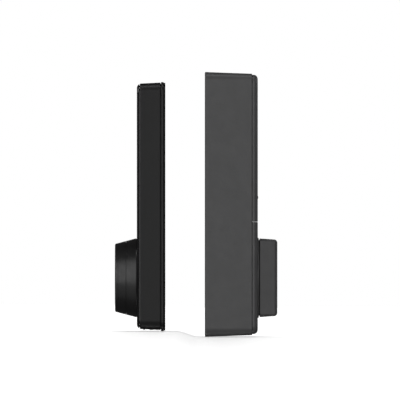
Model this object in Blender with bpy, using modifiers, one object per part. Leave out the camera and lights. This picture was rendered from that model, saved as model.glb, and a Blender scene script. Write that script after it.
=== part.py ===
"""Keypad smart lock: a keypad unit outside the door and a motor unit with a thumbturn inside it.

Everything is in metres. +Z is up, the keypad unit faces -Y and the indoor unit faces +Y.
The origin lies on the turning axis of the lock, halfway through the door leaf.
"""

import math

import bmesh
import bpy
from mathutils import Matrix, Vector

# ---------------------------------------------------------------- driving dimensions

CLEAR = 0.0003            # gap between pieces that rest on each other
DOOR_GAP = 0.0258         # room for the door leaf between the two units

# keypad unit, seen from the door outwards
OUT_WIDTH = 0.0680
OUT_LOW = -0.0345
OUT_HIGH = 0.1271
OUT_CORNER = 0.0065
OUT_BACK = -DOOR_GAP / 2
OUT_FACE = -0.0313
GASKET_DEPTH = 0.00065
BACK_PLATE_DEPTH = 0.0018
PANEL_DEPTH = 0.0014
OUT_WALL = 0.0022
OUT_DRAFT = 0.0006
OUT_ROUND = 0.0030        # rounding shared by the housing's front edge and the panel

GASKET_FACE = OUT_BACK - GASKET_DEPTH
BACK_PLATE_BACK = GASKET_FACE - CLEAR
BACK_PLATE_FACE = BACK_PLATE_BACK - BACK_PLATE_DEPTH
CASE_BACK = BACK_PLATE_FACE - CLEAR
PANEL_BACK = OUT_FACE + PANEL_DEPTH
CASE_FACE = PANEL_BACK + CLEAR
CASE_LOW = OUT_LOW + 0.0008
CASE_HIGH = OUT_HIGH - 0.0003
CASE_WIDTH = OUT_WIDTH - 0.0010
CASE_INNER_FACE = CASE_FACE + 0.0020

# keys
KEY_WIDTH = 0.0134
KEY_HEIGHT = 0.0104
KEY_CORNER = 0.0026
KEY_COLUMNS = (-0.0175, 0.0, 0.0175)
KEY_TOP_ROW = 0.0860
KEY_ROW_STEP = 0.0145
KEY_TRAVEL = 0.0008
KEY_FLANGE = 0.0008
KEY_FLANGE_REACH = 0.0010  # of the flange past the cap on every side
DOME_HEIGHT = 0.0006
MEMBRANE_FACE = PANEL_BACK + CLEAR + KEY_FLANGE + KEY_TRAVEL + 0.0002 + DOME_HEIGHT
MEMBRANE_BACK = MEMBRANE_FACE + 0.0006
BOARD_DEPTH = 0.0016
KEY_NAMES = (
    ("key_1", "key_2", "key_3"),
    ("key_4", "key_5", "key_6"),
    ("key_7", "key_8", "key_9"),
    ("key_clear", "key_0", "key_enter"),
)
SENSOR_HEIGHT = 0.1055    # centre of the fingerprint sensor above the turning axis
SENSOR_RADIUS = 0.0065
SENSOR_RING_RADIUS = 0.0080
LIGHT_HEIGHT = 0.1180
LIGHT_HALF_LENGTH = 0.0040
LIGHT_HALF_HEIGHT = 0.0008

# key cylinder
COLLAR_FACE = -0.0456
COLLAR_BASE_RADIUS = 0.02585
COLLAR_FACE_RADIUS = 0.02205
COLLAR_SPLIT = -0.0381    # middle of the running gap between guard and spinning ring
LIP_REACH = 0.0009        # of the guard's lip into the back of the spinning ring
LIP_INSET = 0.0016
FOOT_CHAMFER = 0.0004
GROOVE_FROM_FACE = 0.0020
GROOVE_DEPTH = 0.0002
THREAD_RADIUS = 0.0019
THREAD_DEPTH = 0.0090
PLUG_BACK = -0.0180
PLUG_CLIP_RADIUS = 0.0086
SPIGOT_RADIUS = 0.0025
DRIVER_RADIUS = 0.0082
DRIVER_BACK = -0.0140
CLIP_MOUTH_X = (-0.0030, 0.0030)
CLIP_MOUTH_Z = (-0.0100, -0.0020)
BARREL_RADIUS = 0.0160
BARREL_BACK = -0.0195
PLUG_RADIUS = 0.0062
BOLT_REACH = 0.0120       # of each through bolt from the turning axis

# port cover under the keypad unit
COVER_HALF = 0.0070
COVER_SPAN = (-0.0280, -0.0173)
COVER_OUTSIDE = -0.0334
COVER_DEPTH = 0.0016
PORT_MIDDLE = -0.0226
RIBS = ((-0.0267, 0.0005), (-0.0219, 0.0012), (-0.0181, 0.0004))  # each one's middle and half width
RIB_HEIGHT = 0.0005

# indoor unit, seen from the door inwards
IN_WIDTH = 0.0740
IN_LOW = -0.0381
IN_HIGH = 0.1336
IN_CORNER = 0.0060
IN_BACK = DOOR_GAP / 2
IN_CASE_FACE = 0.0435
IN_FACE = 0.0471
IN_WALL = 0.0023
IN_DRAFT = 0.0011
FRONT_WALL = 0.0020
PLATE_DEPTH = 0.0020
PLATE_FACE = IN_BACK + PLATE_DEPTH
COVER_INSET = 0.0007
COVER_ROUND = 0.0027
COVER_WALL = 0.0018
SEAM = 0.0364             # height of the joint between battery cover and lower cover
SCREW_SPOTS = ((-0.0280, 0.0460), (0.0280, 0.0460))
LATCH_HEIGHT = 0.0523
LATCH_HALF = 0.0060
LATCH_HALF_HEIGHT = 0.00095
LATCH_FLANGE_HALF = 0.0070
BUTTON_SPOT = (0.0180, 0.0490)

# batteries
CELL_RADIUS = 0.00715
CELL_LENGTH = 0.0493
CELL_TIP = 0.0012
CELL_PITCH = 0.0150
CELL_LOW = 0.0622
CELL_Y = 0.0333

# thumbturn and gears
ROSE_RADIUS = 0.0261
ROSE_FACE = 0.0480
TURN_BASE = 0.0484
TURN_FACE = 0.0600
TURN_LENGTH = 0.0511
TURN_WIDTH = 0.0150
SHAFT_RADIUS = 0.0050
MAIN_TEETH = 36
PINION_TEETH = 12
WHEEL_TEETH = 32
MAIN_MODULE = 0.0010
FAST_MODULE = 0.0008
TOOTH_SLACK = 0.00028     # play between meshing teeth, measured along the pitch circle
IDLER_DIRECTION = math.radians(-120.0)
MOTOR_DIRECTION = math.radians(-10.0)


# ---------------------------------------------------------------- building blocks

def clear_scene():
    for obj in list(bpy.data.objects):
        bpy.data.objects.remove(obj, do_unlink=True)


def new_collection(name):
    collection = bpy.data.collections.new(name)
    bpy.context.scene.collection.children.link(collection)
    return collection


def add_object(name, data):
    obj = bpy.data.objects.new(name, data)
    PARTS.objects.link(obj)
    return obj


def mesh_object(name, bm):
    mesh = bpy.data.meshes.new(name)
    bm.to_mesh(mesh)
    bm.free()
    return add_object(name, mesh)


def set_origin(obj, point):
    """Move the object's origin to a point without moving its shape."""
    obj.data.transform(Matrix.Translation(-Vector(point)))
    obj.location = point
    return obj


def put_away(tool):
    """Turn an object into a cutter or a guide, which is not a part of the lock."""
    PARTS.objects.unlink(tool)
    TOOLS.objects.link(tool)
    tool.hide_render = True
    tool.display_type = "WIRE"


def combine(target, tools, operation):
    for tool in tools:
        put_away(tool)
        change = target.modifiers.new(tool.name, "BOOLEAN")
        change.operation = operation
        change.solver = "EXACT"
        change.object = tool
    return target


def cut(target, *tools):
    return combine(target, tools, "DIFFERENCE")


def join(target, *tools):
    return combine(target, tools, "UNION")


def block(name, x, y, z):
    """A box from its lowest and highest x, y and z."""
    bm = bmesh.new()
    bmesh.ops.create_cube(bm, size=1.0)
    for vert in bm.verts:
        vert.co = [span[1] if part > 0 else span[0] for part, span in zip(vert.co, (x, y, z))]
    return mesh_object(name, bm)


def rod(name, radius, y, spot=(0.0, 0.0), sides=32, high_radius=None):
    """A cylinder or cone along Y, centred on spot = (x, z)."""
    bm = bmesh.new()
    bmesh.ops.create_cone(
        bm,
        cap_ends=True,
        segments=sides,
        radius1=radius,
        radius2=radius if high_radius is None else high_radius,
        depth=y[1] - y[0],
    )
    bm.transform(Matrix.Rotation(-math.pi / 2, 4, "X"))
    bm.transform(Matrix.Translation((spot[0], (y[0] + y[1]) / 2, spot[1])))
    return mesh_object(name, bm)


def turned(name, profile, sides=40):
    """A ring turned about the Y axis from a closed profile of (radius, y) points."""
    bm = bmesh.new()
    verts = [bm.verts.new((radius, 0.0, y)) for radius, y in profile]
    for first, second in zip(verts, verts[1:] + verts[:1]):
        bm.edges.new((first, second))
    obj = mesh_object(name, bm)
    obj.rotation_euler = (-math.pi / 2, 0.0, 0.0)
    screw = obj.modifiers.new("turn", "SCREW")
    screw.axis = "Z"
    screw.angle = 2 * math.pi
    screw.steps = sides
    screw.render_steps = sides
    screw.use_merge_vertices = True
    screw.merge_threshold = 0.00001
    return obj


def slab(name, width, low, high, back, face, corner, draft=0.0, soft=0.0,
         corner_steps=4, soft_steps=1, middle=0.0):
    """An upright plate with rounded corners, from its back to its face along Y.

    The face is smaller than the back by draft on every side, soft rounds the face's edge,
    and middle is the x of the plate's centre line.
    """
    bm = bmesh.new()
    bmesh.ops.create_cube(bm, size=1.0)
    for vert in bm.verts:
        on_face = vert.co.y * (face - back) > 0
        inset = draft if on_face else 0.0
        x = middle + math.copysign(width / 2 - inset, vert.co.x)
        z = high - inset if vert.co.z > 0 else low + inset
        vert.co = (x, face if on_face else back, z)
    if corner > 0:
        upright = [e for e in bm.edges if abs(e.verts[0].co.y - e.verts[1].co.y) > 1e-6]
        bmesh.ops.bevel(
            bm, geom=upright, offset=corner, segments=corner_steps, profile=0.5, affect="EDGES"
        )
    if soft > 0:
        rim = [e for e in bm.edges if all(abs(v.co.y - face) < 1e-6 for v in e.verts)]
        bmesh.ops.bevel(bm, geom=rim, offset=soft, segments=soft_steps, profile=0.5, affect="EDGES")
    return mesh_object(name, bm)


def outline_plate(name, points, y, spot):
    """A flat piece cut to a closed outline of (x, z) points about spot."""
    curve = bpy.data.curves.new(name, "CURVE")
    curve.dimensions = "2D"
    curve.fill_mode = "BOTH"
    curve.extrude = (y[1] - y[0]) / 2
    spline = curve.splines.new("POLY")
    spline.points.add(len(points) - 1)
    for point, (x, z) in zip(spline.points, points):
        point.co = (x, z, 0.0, 1.0)
    spline.use_cyclic_u = True
    guide = add_object(name + "_outline", curve)
    guide.rotation_euler = (math.pi / 2, 0.0, 0.0)
    guide.location = (spot[0], (y[0] + y[1]) / 2, spot[1])
    bpy.context.view_layer.update()
    evaluated = guide.evaluated_get(bpy.context.evaluated_depsgraph_get())
    bm = bmesh.new()
    bm.from_mesh(bpy.data.meshes.new_from_object(evaluated))
    bmesh.ops.remove_doubles(bm, verts=bm.verts, dist=0.000001)
    bmesh.ops.recalc_face_normals(bm, faces=bm.faces)
    bm.transform(guide.matrix_world)
    bpy.data.objects.remove(guide, do_unlink=True)
    return mesh_object(name, bm)


def gear_outline(teeth, module, phase):
    """Straight-flanked teeth that touch the involute form at root and tip, one tooth at phase."""
    pitch_radius = teeth * module / 2
    base_radius = pitch_radius * math.cos(math.radians(20))
    tip_radius = pitch_radius + 0.9 * module
    root_radius = pitch_radius - 1.15 * module

    def involute(radius):
        angle = math.acos(min(1.0, base_radius / radius))
        return math.tan(angle) - angle

    def half_width(radius):
        at_pitch = (math.pi / 2 * module - TOOTH_SLACK) / (2 * pitch_radius)
        return at_pitch + involute(pitch_radius) - involute(max(radius, base_radius))

    steps = (
        (root_radius, -half_width(root_radius)),
        (tip_radius, -half_width(tip_radius)),
        (tip_radius, half_width(tip_radius)),
        (root_radius, half_width(root_radius)),
    )
    points = []
    for tooth in range(teeth):
        middle = phase + 2 * math.pi * tooth / teeth
        for radius, offset in steps:
            points.append((radius * math.cos(middle + offset), radius * math.sin(middle + offset)))
    return points


FINISHES = {
    "black_satin": ((0.020, 0.020, 0.021), 0.42, 0.6),
    "black_panel": ((0.012, 0.012, 0.013), 0.12, 0.0),
    "black_key": ((0.016, 0.016, 0.017), 0.35, 0.0),
    "grey_case": ((0.060, 0.060, 0.062), 0.45, 0.3),
    "grey_cover": ((0.052, 0.052, 0.054), 0.40, 0.0),
    "black_plastic": ((0.018, 0.018, 0.018), 0.50, 0.0),
    "rubber": ((0.010, 0.010, 0.010), 0.80, 0.0),
    "steel": ((0.45, 0.45, 0.46), 0.35, 1.0),
    "brass": ((0.60, 0.45, 0.20), 0.35, 1.0),
    "nylon": ((0.75, 0.74, 0.70), 0.50, 0.0),
    "green_board": ((0.02, 0.14, 0.06), 0.45, 0.0),
    "cell_sleeve": ((0.10, 0.12, 0.16), 0.30, 0.1),
    "light_lens": ((0.55, 0.75, 0.95), 0.20, 0.0),
}


def finish(obj, name):
    """Give the part its material, made once for each finish."""
    material = bpy.data.materials.get(name)
    if material is None:
        colour, roughness, metallic = FINISHES[name]
        material = bpy.data.materials.new(name)
        material.use_nodes = True
        shader = material.node_tree.nodes["Principled BSDF"]
        shader.inputs["Base Color"].default_value = (*colour, 1.0)
        shader.inputs["Roughness"].default_value = roughness
        shader.inputs["Metallic"].default_value = metallic
        material.diffuse_color = (*colour, 1.0)
    obj.data.materials.append(material)
    return obj


# ---------------------------------------------------------------- keypad unit

def key_spots():
    """Each key's name with the x and z of its centre."""
    for row, names in enumerate(KEY_NAMES):
        for x, name in zip(KEY_COLUMNS, names):
            yield name, x, KEY_TOP_ROW - row * KEY_ROW_STEP


OUT_SCREWS = {
    "back_plate_screw_top": (0.0, 0.1205),
    "back_plate_screw_left": (-0.0220, -0.0240),
    "back_plate_screw_right": (0.0220, -0.0240),
}
OUT_HEAD_RADIUS = 0.0028
OUT_HEAD_DEPTH = 0.0011
OUT_SHANK_RADIUS = 0.0013
OUT_SHANK_TIP = -0.0240
POST_RADIUS = 0.0032
RIM_REACH = 0.0012
RIM_WALL = 0.0010
CABLE_SLOT_X = (-0.0080, 0.0080)
CABLE_SLOT_Z = (0.0195, 0.0255)
BOLT_HOLE_RADIUS = 0.0021
PAST = 0.0020             # how far a cutter runs past the wall that it cuts
EVERYWHERE = (-0.2, 0.2)  # a span wider and taller than the whole lock


def make_gasket():
    gasket = slab(
        "exterior_gasket", OUT_WIDTH - 0.001, OUT_LOW + 0.0005, OUT_HIGH - 0.0005,
        GASKET_FACE, OUT_BACK, OUT_CORNER - 0.0005,
    )
    through = (GASKET_FACE - PAST, OUT_BACK + PAST)
    cut(gasket, rod("gasket_bore", 0.0150, through, sides=40))
    cut(gasket, block("gasket_cable_slot", CABLE_SLOT_X, through, CABLE_SLOT_Z))
    for name, spot in OUT_SCREWS.items():
        cut(gasket, rod(name + "_gasket_hole", OUT_HEAD_RADIUS + 2 * CLEAR, through, spot, 16))
    return finish(gasket, "rubber")


def locating_rim():
    """The low rim on the back plate that fits inside the housing's wall, open round the screw posts."""
    inset = OUT_WALL + CLEAR
    rim_face = BACK_PLATE_FACE - RIM_REACH
    rim = slab(
        "locating_rim", CASE_WIDTH - 2 * inset, CASE_LOW + inset, CASE_HIGH - inset,
        BACK_PLATE_FACE + 0.0005, rim_face, OUT_CORNER - inset,
    )
    inset += RIM_WALL
    past = (rim_face - PAST, BACK_PLATE_FACE + PAST)
    cut(rim, slab(
        "rim_hollow", CASE_WIDTH - 2 * inset, CASE_LOW + inset, CASE_HIGH - inset,
        past[1], past[0], OUT_CORNER - inset,
    ))
    for name, spot in OUT_SCREWS.items():
        cut(rim, rod(name + "_rim_gap", POST_RADIUS + CLEAR, past, spot, 16))
    return rim


def make_back_plate():
    plate = slab(
        "exterior_back_plate", OUT_WIDTH, OUT_LOW, OUT_HIGH,
        BACK_PLATE_BACK, BACK_PLATE_FACE, OUT_CORNER,
    )
    join(plate, locating_rim())
    through = (BACK_PLATE_FACE - PAST, BACK_PLATE_BACK + PAST)
    cut(plate, rod("driver_window", 0.0092, through))
    cut(plate, block("plate_cable_slot", CABLE_SLOT_X, through, CABLE_SLOT_Z))
    for side in (-1, 1):
        spot = (side * BOLT_REACH, 0.0)
        cut(plate, rod("plate_bolt_hole", BOLT_HOLE_RADIUS, through, spot, 16))
    head_seat = (BACK_PLATE_BACK - OUT_HEAD_DEPTH - CLEAR, BACK_PLATE_BACK + PAST)
    for name, spot in OUT_SCREWS.items():
        cut(plate, rod(name + "_seat", OUT_HEAD_RADIUS + CLEAR, head_seat, spot, 16))
        cut(plate, rod(name + "_plate_hole", OUT_SHANK_RADIUS + CLEAR, through, spot, 16))
    return finish(plate, "steel")


def make_out_screws():
    head_back = BACK_PLATE_BACK
    head_face = head_back - OUT_HEAD_DEPTH
    for name, spot in OUT_SCREWS.items():
        screw = rod(name, OUT_HEAD_RADIUS, (head_face, head_back), spot, 16)
        shank = rod(name + "_shank", OUT_SHANK_RADIUS, (OUT_SHANK_TIP, head_back - 0.0006), spot, 12)
        cut(screw, block(name + "_slot", (spot[0] - 0.0020, spot[0] + 0.0020),
                         (head_back - 0.0004, head_back + PAST), (spot[1] - 0.0004, spot[1] + 0.0004)))
        finish(join(screw, shank), "steel")


def out_skin(name):
    """The keypad unit's outer shape from the housing's back to the panel's face."""
    return slab(
        name, CASE_WIDTH, CASE_LOW, CASE_HIGH, CASE_BACK, OUT_FACE, OUT_CORNER, OUT_DRAFT,
        soft=OUT_ROUND, corner_steps=5, soft_steps=5,
    )


def light_slot(y):
    """Spans of the slot that the status light looks through."""
    half_length = LIGHT_HALF_LENGTH + CLEAR
    half_height = LIGHT_HALF_HEIGHT + CLEAR
    return (-half_length, half_length), y, (LIGHT_HEIGHT - half_height, LIGHT_HEIGHT + half_height)


def make_out_case():
    case = out_skin("exterior_housing")
    cut(case, block("panel_room", EVERYWHERE, (OUT_FACE - PAST, CASE_FACE), EVERYWHERE))
    cut(case, slab(
        "out_cavity", CASE_WIDTH - 2 * OUT_WALL, CASE_LOW + OUT_WALL, CASE_HIGH - OUT_WALL,
        CASE_BACK + PAST, CASE_INNER_FACE, OUT_CORNER - OUT_WALL, OUT_DRAFT,
    ))
    for name, spot in OUT_SCREWS.items():
        join(case, rod(name + "_post", POST_RADIUS, (CASE_INNER_FACE - 0.0005, CASE_BACK - CLEAR), spot, 16))
    for name, spot in OUT_SCREWS.items():
        hole = (OUT_SHANK_TIP - 0.0005, CASE_BACK + PAST)
        cut(case, rod(name + "_hole", OUT_SHANK_RADIUS + CLEAR, hole, spot, 12))
    through = (CASE_FACE - PAST, CASE_INNER_FACE + 0.0002)
    margin = KEY_FLANGE_REACH + 0.0004
    reach_x = KEY_COLUMNS[2] + KEY_WIDTH / 2 + margin
    low = KEY_TOP_ROW - 3 * KEY_ROW_STEP - KEY_HEIGHT / 2 - margin
    high = KEY_TOP_ROW + KEY_HEIGHT / 2 + margin
    cut(case, block("key_window", (-reach_x, reach_x), through, (low, high)))
    cut(case, rod("case_barrel_bore", BARREL_RADIUS + CLEAR, through, sides=40))
    cut(case, rod("case_sensor_bore", SENSOR_RING_RADIUS + CLEAR, through, (0.0, SENSOR_HEIGHT), 32))
    cut(case, block("case_light_slot", *light_slot(through)))
    cut(case, block("port_window", (-COVER_HALF - CLEAR, COVER_HALF + CLEAR),
                    (COVER_SPAN[0] - CLEAR, COVER_SPAN[1] + CLEAR),
                    (OUT_LOW - PAST, CASE_LOW + OUT_WALL + 0.0008)))
    return finish(case, "black_satin")


def make_front_panel():
    panel = out_skin("exterior_front_panel")
    cut(panel, block("housing_room", EVERYWHERE, (PANEL_BACK, CASE_BACK + PAST), EVERYWHERE))
    through = (OUT_FACE - PAST, PANEL_BACK + PAST)
    for name, x, z in key_spots():
        cut(panel, slab(
            name + "_opening", KEY_WIDTH + 2 * CLEAR, z - KEY_HEIGHT / 2 - CLEAR,
            z + KEY_HEIGHT / 2 + CLEAR, through[0], through[1], KEY_CORNER + CLEAR, corner_steps=3,
            middle=x,
        ))
    cut(panel, rod("panel_barrel_bore", BARREL_RADIUS + CLEAR, through, sides=40))
    cut(panel, rod("panel_sensor_bore", SENSOR_RING_RADIUS + CLEAR, through, (0.0, SENSOR_HEIGHT), 32))
    cut(panel, block("panel_light_slot", *light_slot(through)))
    return finish(panel, "black_panel")


def make_key(name, x, z):
    """A key cap that fills its opening in the panel, with a flange that keeps it in."""
    spot = (x, OUT_FACE, z)
    flange_face = PANEL_BACK + CLEAR
    cap = slab(
        name, KEY_WIDTH, z - KEY_HEIGHT / 2, z + KEY_HEIGHT / 2, flange_face + 0.0004, OUT_FACE,
        KEY_CORNER, soft=0.0003, corner_steps=3, middle=x,
    )
    reach_x = KEY_WIDTH / 2 + KEY_FLANGE_REACH
    reach_z = KEY_HEIGHT / 2 + KEY_FLANGE_REACH
    join(cap, block(name + "_flange", (x - reach_x, x + reach_x),
                    (flange_face, flange_face + KEY_FLANGE), (z - reach_z, z + reach_z)))
    return finish(set_origin(cap, spot), "black_key")


def make_membrane():
    """The rubber sheet behind the keys, with a low dome under each of them."""
    sheet = block("keypad_membrane", (-0.0270, 0.0270), (MEMBRANE_FACE, MEMBRANE_BACK), (0.0340, 0.0940))
    for name, x, z in key_spots():
        dome = (MEMBRANE_FACE - DOME_HEIGHT, MEMBRANE_FACE + 0.0003)
        join(sheet, rod(name + "_dome", 0.0022, dome, (x, z), 12, high_radius=0.0036))
    return finish(sheet, "rubber")


def make_keypad_board():
    face = MEMBRANE_BACK + 0.0004
    board = block("keypad_circuit_board", (-0.0280, 0.0280), (face, face + BOARD_DEPTH), (0.0335, 0.1160))
    return finish(board, "green_board")


def make_sensor():
    proud = 0.0001
    back = -0.0280
    ring = turned("fingerprint_ring", (
        (SENSOR_RING_RADIUS, back),
        (SENSOR_RING_RADIUS, OUT_FACE - proud + 0.0003),
        (SENSOR_RING_RADIUS - 0.0003, OUT_FACE - proud),
        (SENSOR_RADIUS + CLEAR, OUT_FACE - proud),
        (SENSOR_RADIUS + CLEAR, back),
    ), 32)
    ring.location = (0.0, 0.0, SENSOR_HEIGHT)
    finish(ring, "steel")
    sensor = rod("fingerprint_sensor", SENSOR_RADIUS, (OUT_FACE + 0.0003, -0.0270), (0.0, SENSOR_HEIGHT))
    return finish(sensor, "black_panel")


def make_light():
    light = block("status_light", (-LIGHT_HALF_LENGTH, LIGHT_HALF_LENGTH), (OUT_FACE + 0.0001, -0.0275),
                  (LIGHT_HEIGHT - LIGHT_HALF_HEIGHT, LIGHT_HEIGHT + LIGHT_HALF_HEIGHT))
    return finish(light, "light_lens")


def collar_radius(y):
    """Outer radius of the tapering collar at a distance y."""
    share = (y - COLLAR_FACE) / (OUT_FACE - COLLAR_FACE)
    return COLLAR_FACE_RADIUS + share * (COLLAR_BASE_RADIUS - COLLAR_FACE_RADIUS)


def make_collar():
    bore = BARREL_RADIUS + CLEAR
    base = OUT_FACE - CLEAR
    split_low = COLLAR_SPLIT - CLEAR
    split_high = COLLAR_SPLIT + CLEAR
    lip = LIP_REACH
    lip_radius = collar_radius(COLLAR_SPLIT) - LIP_INSET
    guard = turned("cylinder_guard", (
        (bore, base),
        (collar_radius(base) - FOOT_CHAMFER, base),
        (collar_radius(base), base - FOOT_CHAMFER),
        (collar_radius(split_high), split_high),
        (lip_radius, split_high),
        (lip_radius, split_high - lip),
        (bore, split_high - lip),
    ))
    finish(guard, "black_satin")
    groove = COLLAR_FACE + GROOVE_FROM_FACE
    edge = 0.0009
    ring = turned("cylinder_spin_ring", (
        (bore, split_low - lip),
        (lip_radius + CLEAR, split_low - lip),
        (lip_radius + CLEAR, split_low),
        (collar_radius(split_low), split_low),
        (collar_radius(groove + GROOVE_DEPTH), groove + GROOVE_DEPTH),
        (collar_radius(groove) - GROOVE_DEPTH, groove),
        (collar_radius(groove - GROOVE_DEPTH), groove - GROOVE_DEPTH),
        (collar_radius(COLLAR_FACE + edge), COLLAR_FACE + edge),
        (COLLAR_FACE_RADIUS - 0.3 * edge, COLLAR_FACE + 0.3 * edge),
        (COLLAR_FACE_RADIUS - edge, COLLAR_FACE),
        (bore, COLLAR_FACE),
    ))
    return finish(ring, "black_satin")


def make_cylinder():
    """The fixed barrel, the plug that turns in it, its clip and the driver for the tailpiece."""
    barrel = rod("cylinder_barrel", BARREL_RADIUS, (COLLAR_FACE + 0.0004, BARREL_BACK), sides=40)
    cut(barrel, rod("plug_bore", PLUG_RADIUS + CLEAR, (COLLAR_FACE - PAST, BARREL_BACK + PAST), sides=24))
    for side in (-1, 1):
        spot = (side * BOLT_REACH, 0.0)
        thread = (BARREL_BACK - THREAD_DEPTH, BARREL_BACK + PAST)
        cut(barrel, rod("bolt_thread", THREAD_RADIUS, thread, spot, 16))
    finish(barrel, "black_satin")

    plug = rod("key_plug", PLUG_RADIUS, (COLLAR_FACE + 0.0001, PLUG_BACK), sides=24)
    join(plug, rod("plug_spigot", SPIGOT_RADIUS, (PLUG_BACK - 0.0010, -0.0160), sides=16))
    key_depth = (COLLAR_FACE - PAST, -0.0210)
    cut(plug, block("keyway", (-0.0010, 0.0010), key_depth, (-0.0046, 0.0040)))
    cut(plug, block("keyway_ward", (-0.0017, 0.0), key_depth, (-0.0018, -0.0004)))
    finish(plug, "steel")

    clip_span = (PLUG_BACK - 0.0012, PLUG_BACK - CLEAR)
    past_clip = (clip_span[0] - PAST, clip_span[1] + PAST)
    clip = rod("plug_clip", PLUG_CLIP_RADIUS, clip_span, sides=24)
    cut(clip, rod("clip_bore", PLUG_RADIUS + CLEAR, past_clip, sides=24))
    cut(clip, block("clip_mouth", CLIP_MOUTH_X, past_clip, CLIP_MOUTH_Z))
    finish(clip, "steel")

    driver_face = PLUG_BACK + CLEAR
    driver = rod("tail_driver", DRIVER_RADIUS, (driver_face, DRIVER_BACK), sides=32)
    cut(driver, rod("spigot_bore", SPIGOT_RADIUS + CLEAR, (driver_face - PAST, -0.0155), sides=16))
    cut(driver, block("tail_slot", (-0.0012, 0.0012), (-0.0157, DRIVER_BACK + PAST), (-0.0060, 0.0060)))
    return finish(driver, "brass")


def make_port():
    """The rubber cover under the keypad unit and the power socket behind it."""
    hinge = (0.0, COVER_SPAN[1], COVER_OUTSIDE)
    cover = block("port_cover", (-COVER_HALF, COVER_HALF), COVER_SPAN,
                  (COVER_OUTSIDE, COVER_OUTSIDE + COVER_DEPTH))
    rib_x = (-COVER_HALF + 0.0010, COVER_HALF - 0.0010)
    rib_z = (COVER_OUTSIDE - RIB_HEIGHT, COVER_OUTSIDE + 0.0004)
    for middle, half_width in RIBS:
        join(cover, block("port_cover_rib", rib_x, (middle - half_width, middle + half_width), rib_z))
    finish(set_origin(cover, hinge), "rubber")

    low = COVER_OUTSIDE + COVER_DEPTH + 0.0004
    port = block("power_socket", (-0.0045, 0.0045), (PORT_MIDDLE - 0.0016, PORT_MIDDLE + 0.0016),
                 (low, low + 0.0073))
    cut(port, block("socket_mouth", (-0.0041, 0.0041), (PORT_MIDDLE - 0.0012, PORT_MIDDLE + 0.0012),
                    (low - PAST, low + 0.0060)))
    return finish(port, "steel")


# ---------------------------------------------------------------- indoor unit

SCREW_SHANK_RADIUS = 0.0015
SCREW_HEAD_RADIUS = 0.0030
PLATE_POST_RADIUS = 0.0035
PLATE_POST_FACE = 0.0200
SHAFT_BORE = SHAFT_RADIUS + CLEAR
SHAFT_END = 0.0154
HUB_SPAN = (0.0158, 0.0225)
BUSH_FLANGE_RADIUS = 0.0092
BUSH_FLANGE = (0.0407, 0.0412)
TURN_CLIP_RADIUS = 0.0080
TURN_CLIP = (0.0395, 0.0404)
BUTTON_RADIUS = 0.0019
AXLE_RADIUS = 0.0015
AXLE_HOLE = AXLE_RADIUS + CLEAR
GEARBOX_POSTS = ((-0.0290, -0.0290), (0.0240, -0.0140))
MOTOR_RADIUS = 0.0075
MOTOR_BOSS_RADIUS = 0.0040
MOTOR_BOSS_BACK = 0.0255
MOTOR_SHAFT_RADIUS = 0.0010
MAIN_BOARD_Y = (0.0170, 0.0186)
BUSH_RADIUS = 0.0075
TRAY_HALF = 0.0315
TRAY_LOW = 0.0575
TRAY_HIGH = 0.1175
TRAY_BACK = 0.0240
TRAY_FACE = 0.0430
TRAY_WALL = 0.0014
GEAR_SPAN = (0.0165, 0.0205)
WHEEL_SPAN = (0.0212, 0.0242)
GEARBOX_SPAN = (0.0250, 0.0266)
IDLER_REACH = (MAIN_TEETH + PINION_TEETH) * MAIN_MODULE / 2
MOTOR_REACH = (WHEEL_TEETH + PINION_TEETH) * FAST_MODULE / 2
IDLER_SPOT = (IDLER_REACH * math.cos(IDLER_DIRECTION), IDLER_REACH * math.sin(IDLER_DIRECTION))
MOTOR_SPOT = (
    IDLER_SPOT[0] + MOTOR_REACH * math.cos(MOTOR_DIRECTION),
    IDLER_SPOT[1] + MOTOR_REACH * math.sin(MOTOR_DIRECTION),
)


def make_mounting_plate():
    play = IN_WALL + CLEAR
    plate = slab(
        "mounting_plate", IN_WIDTH - 2 * play, IN_LOW + play, IN_HIGH - play, IN_BACK, PLATE_FACE,
        IN_CORNER - IN_WALL,
    )
    for spot in SCREW_SPOTS:
        join(plate, rod("plate_post", PLATE_POST_RADIUS, (PLATE_FACE - 0.0005, PLATE_POST_FACE), spot, 20))
    through = (IN_BACK - PAST, PLATE_POST_FACE + PAST)
    for spot in SCREW_SPOTS:
        cut(plate, rod("post_thread", SCREW_SHANK_RADIUS + CLEAR, through, spot, 16))
    for side in (-1, 1):
        spot = (side * BOLT_REACH, 0.0)
        cut(plate, rod("mounting_bolt_hole", BOLT_HOLE_RADIUS, through, spot, 16))
    cut(plate, rod("tailpiece_window", 0.0090, through, sides=32))
    cut(plate, block("mounting_cable_slot", CABLE_SLOT_X, through, CABLE_SLOT_Z))
    return finish(plate, "steel")


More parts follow.
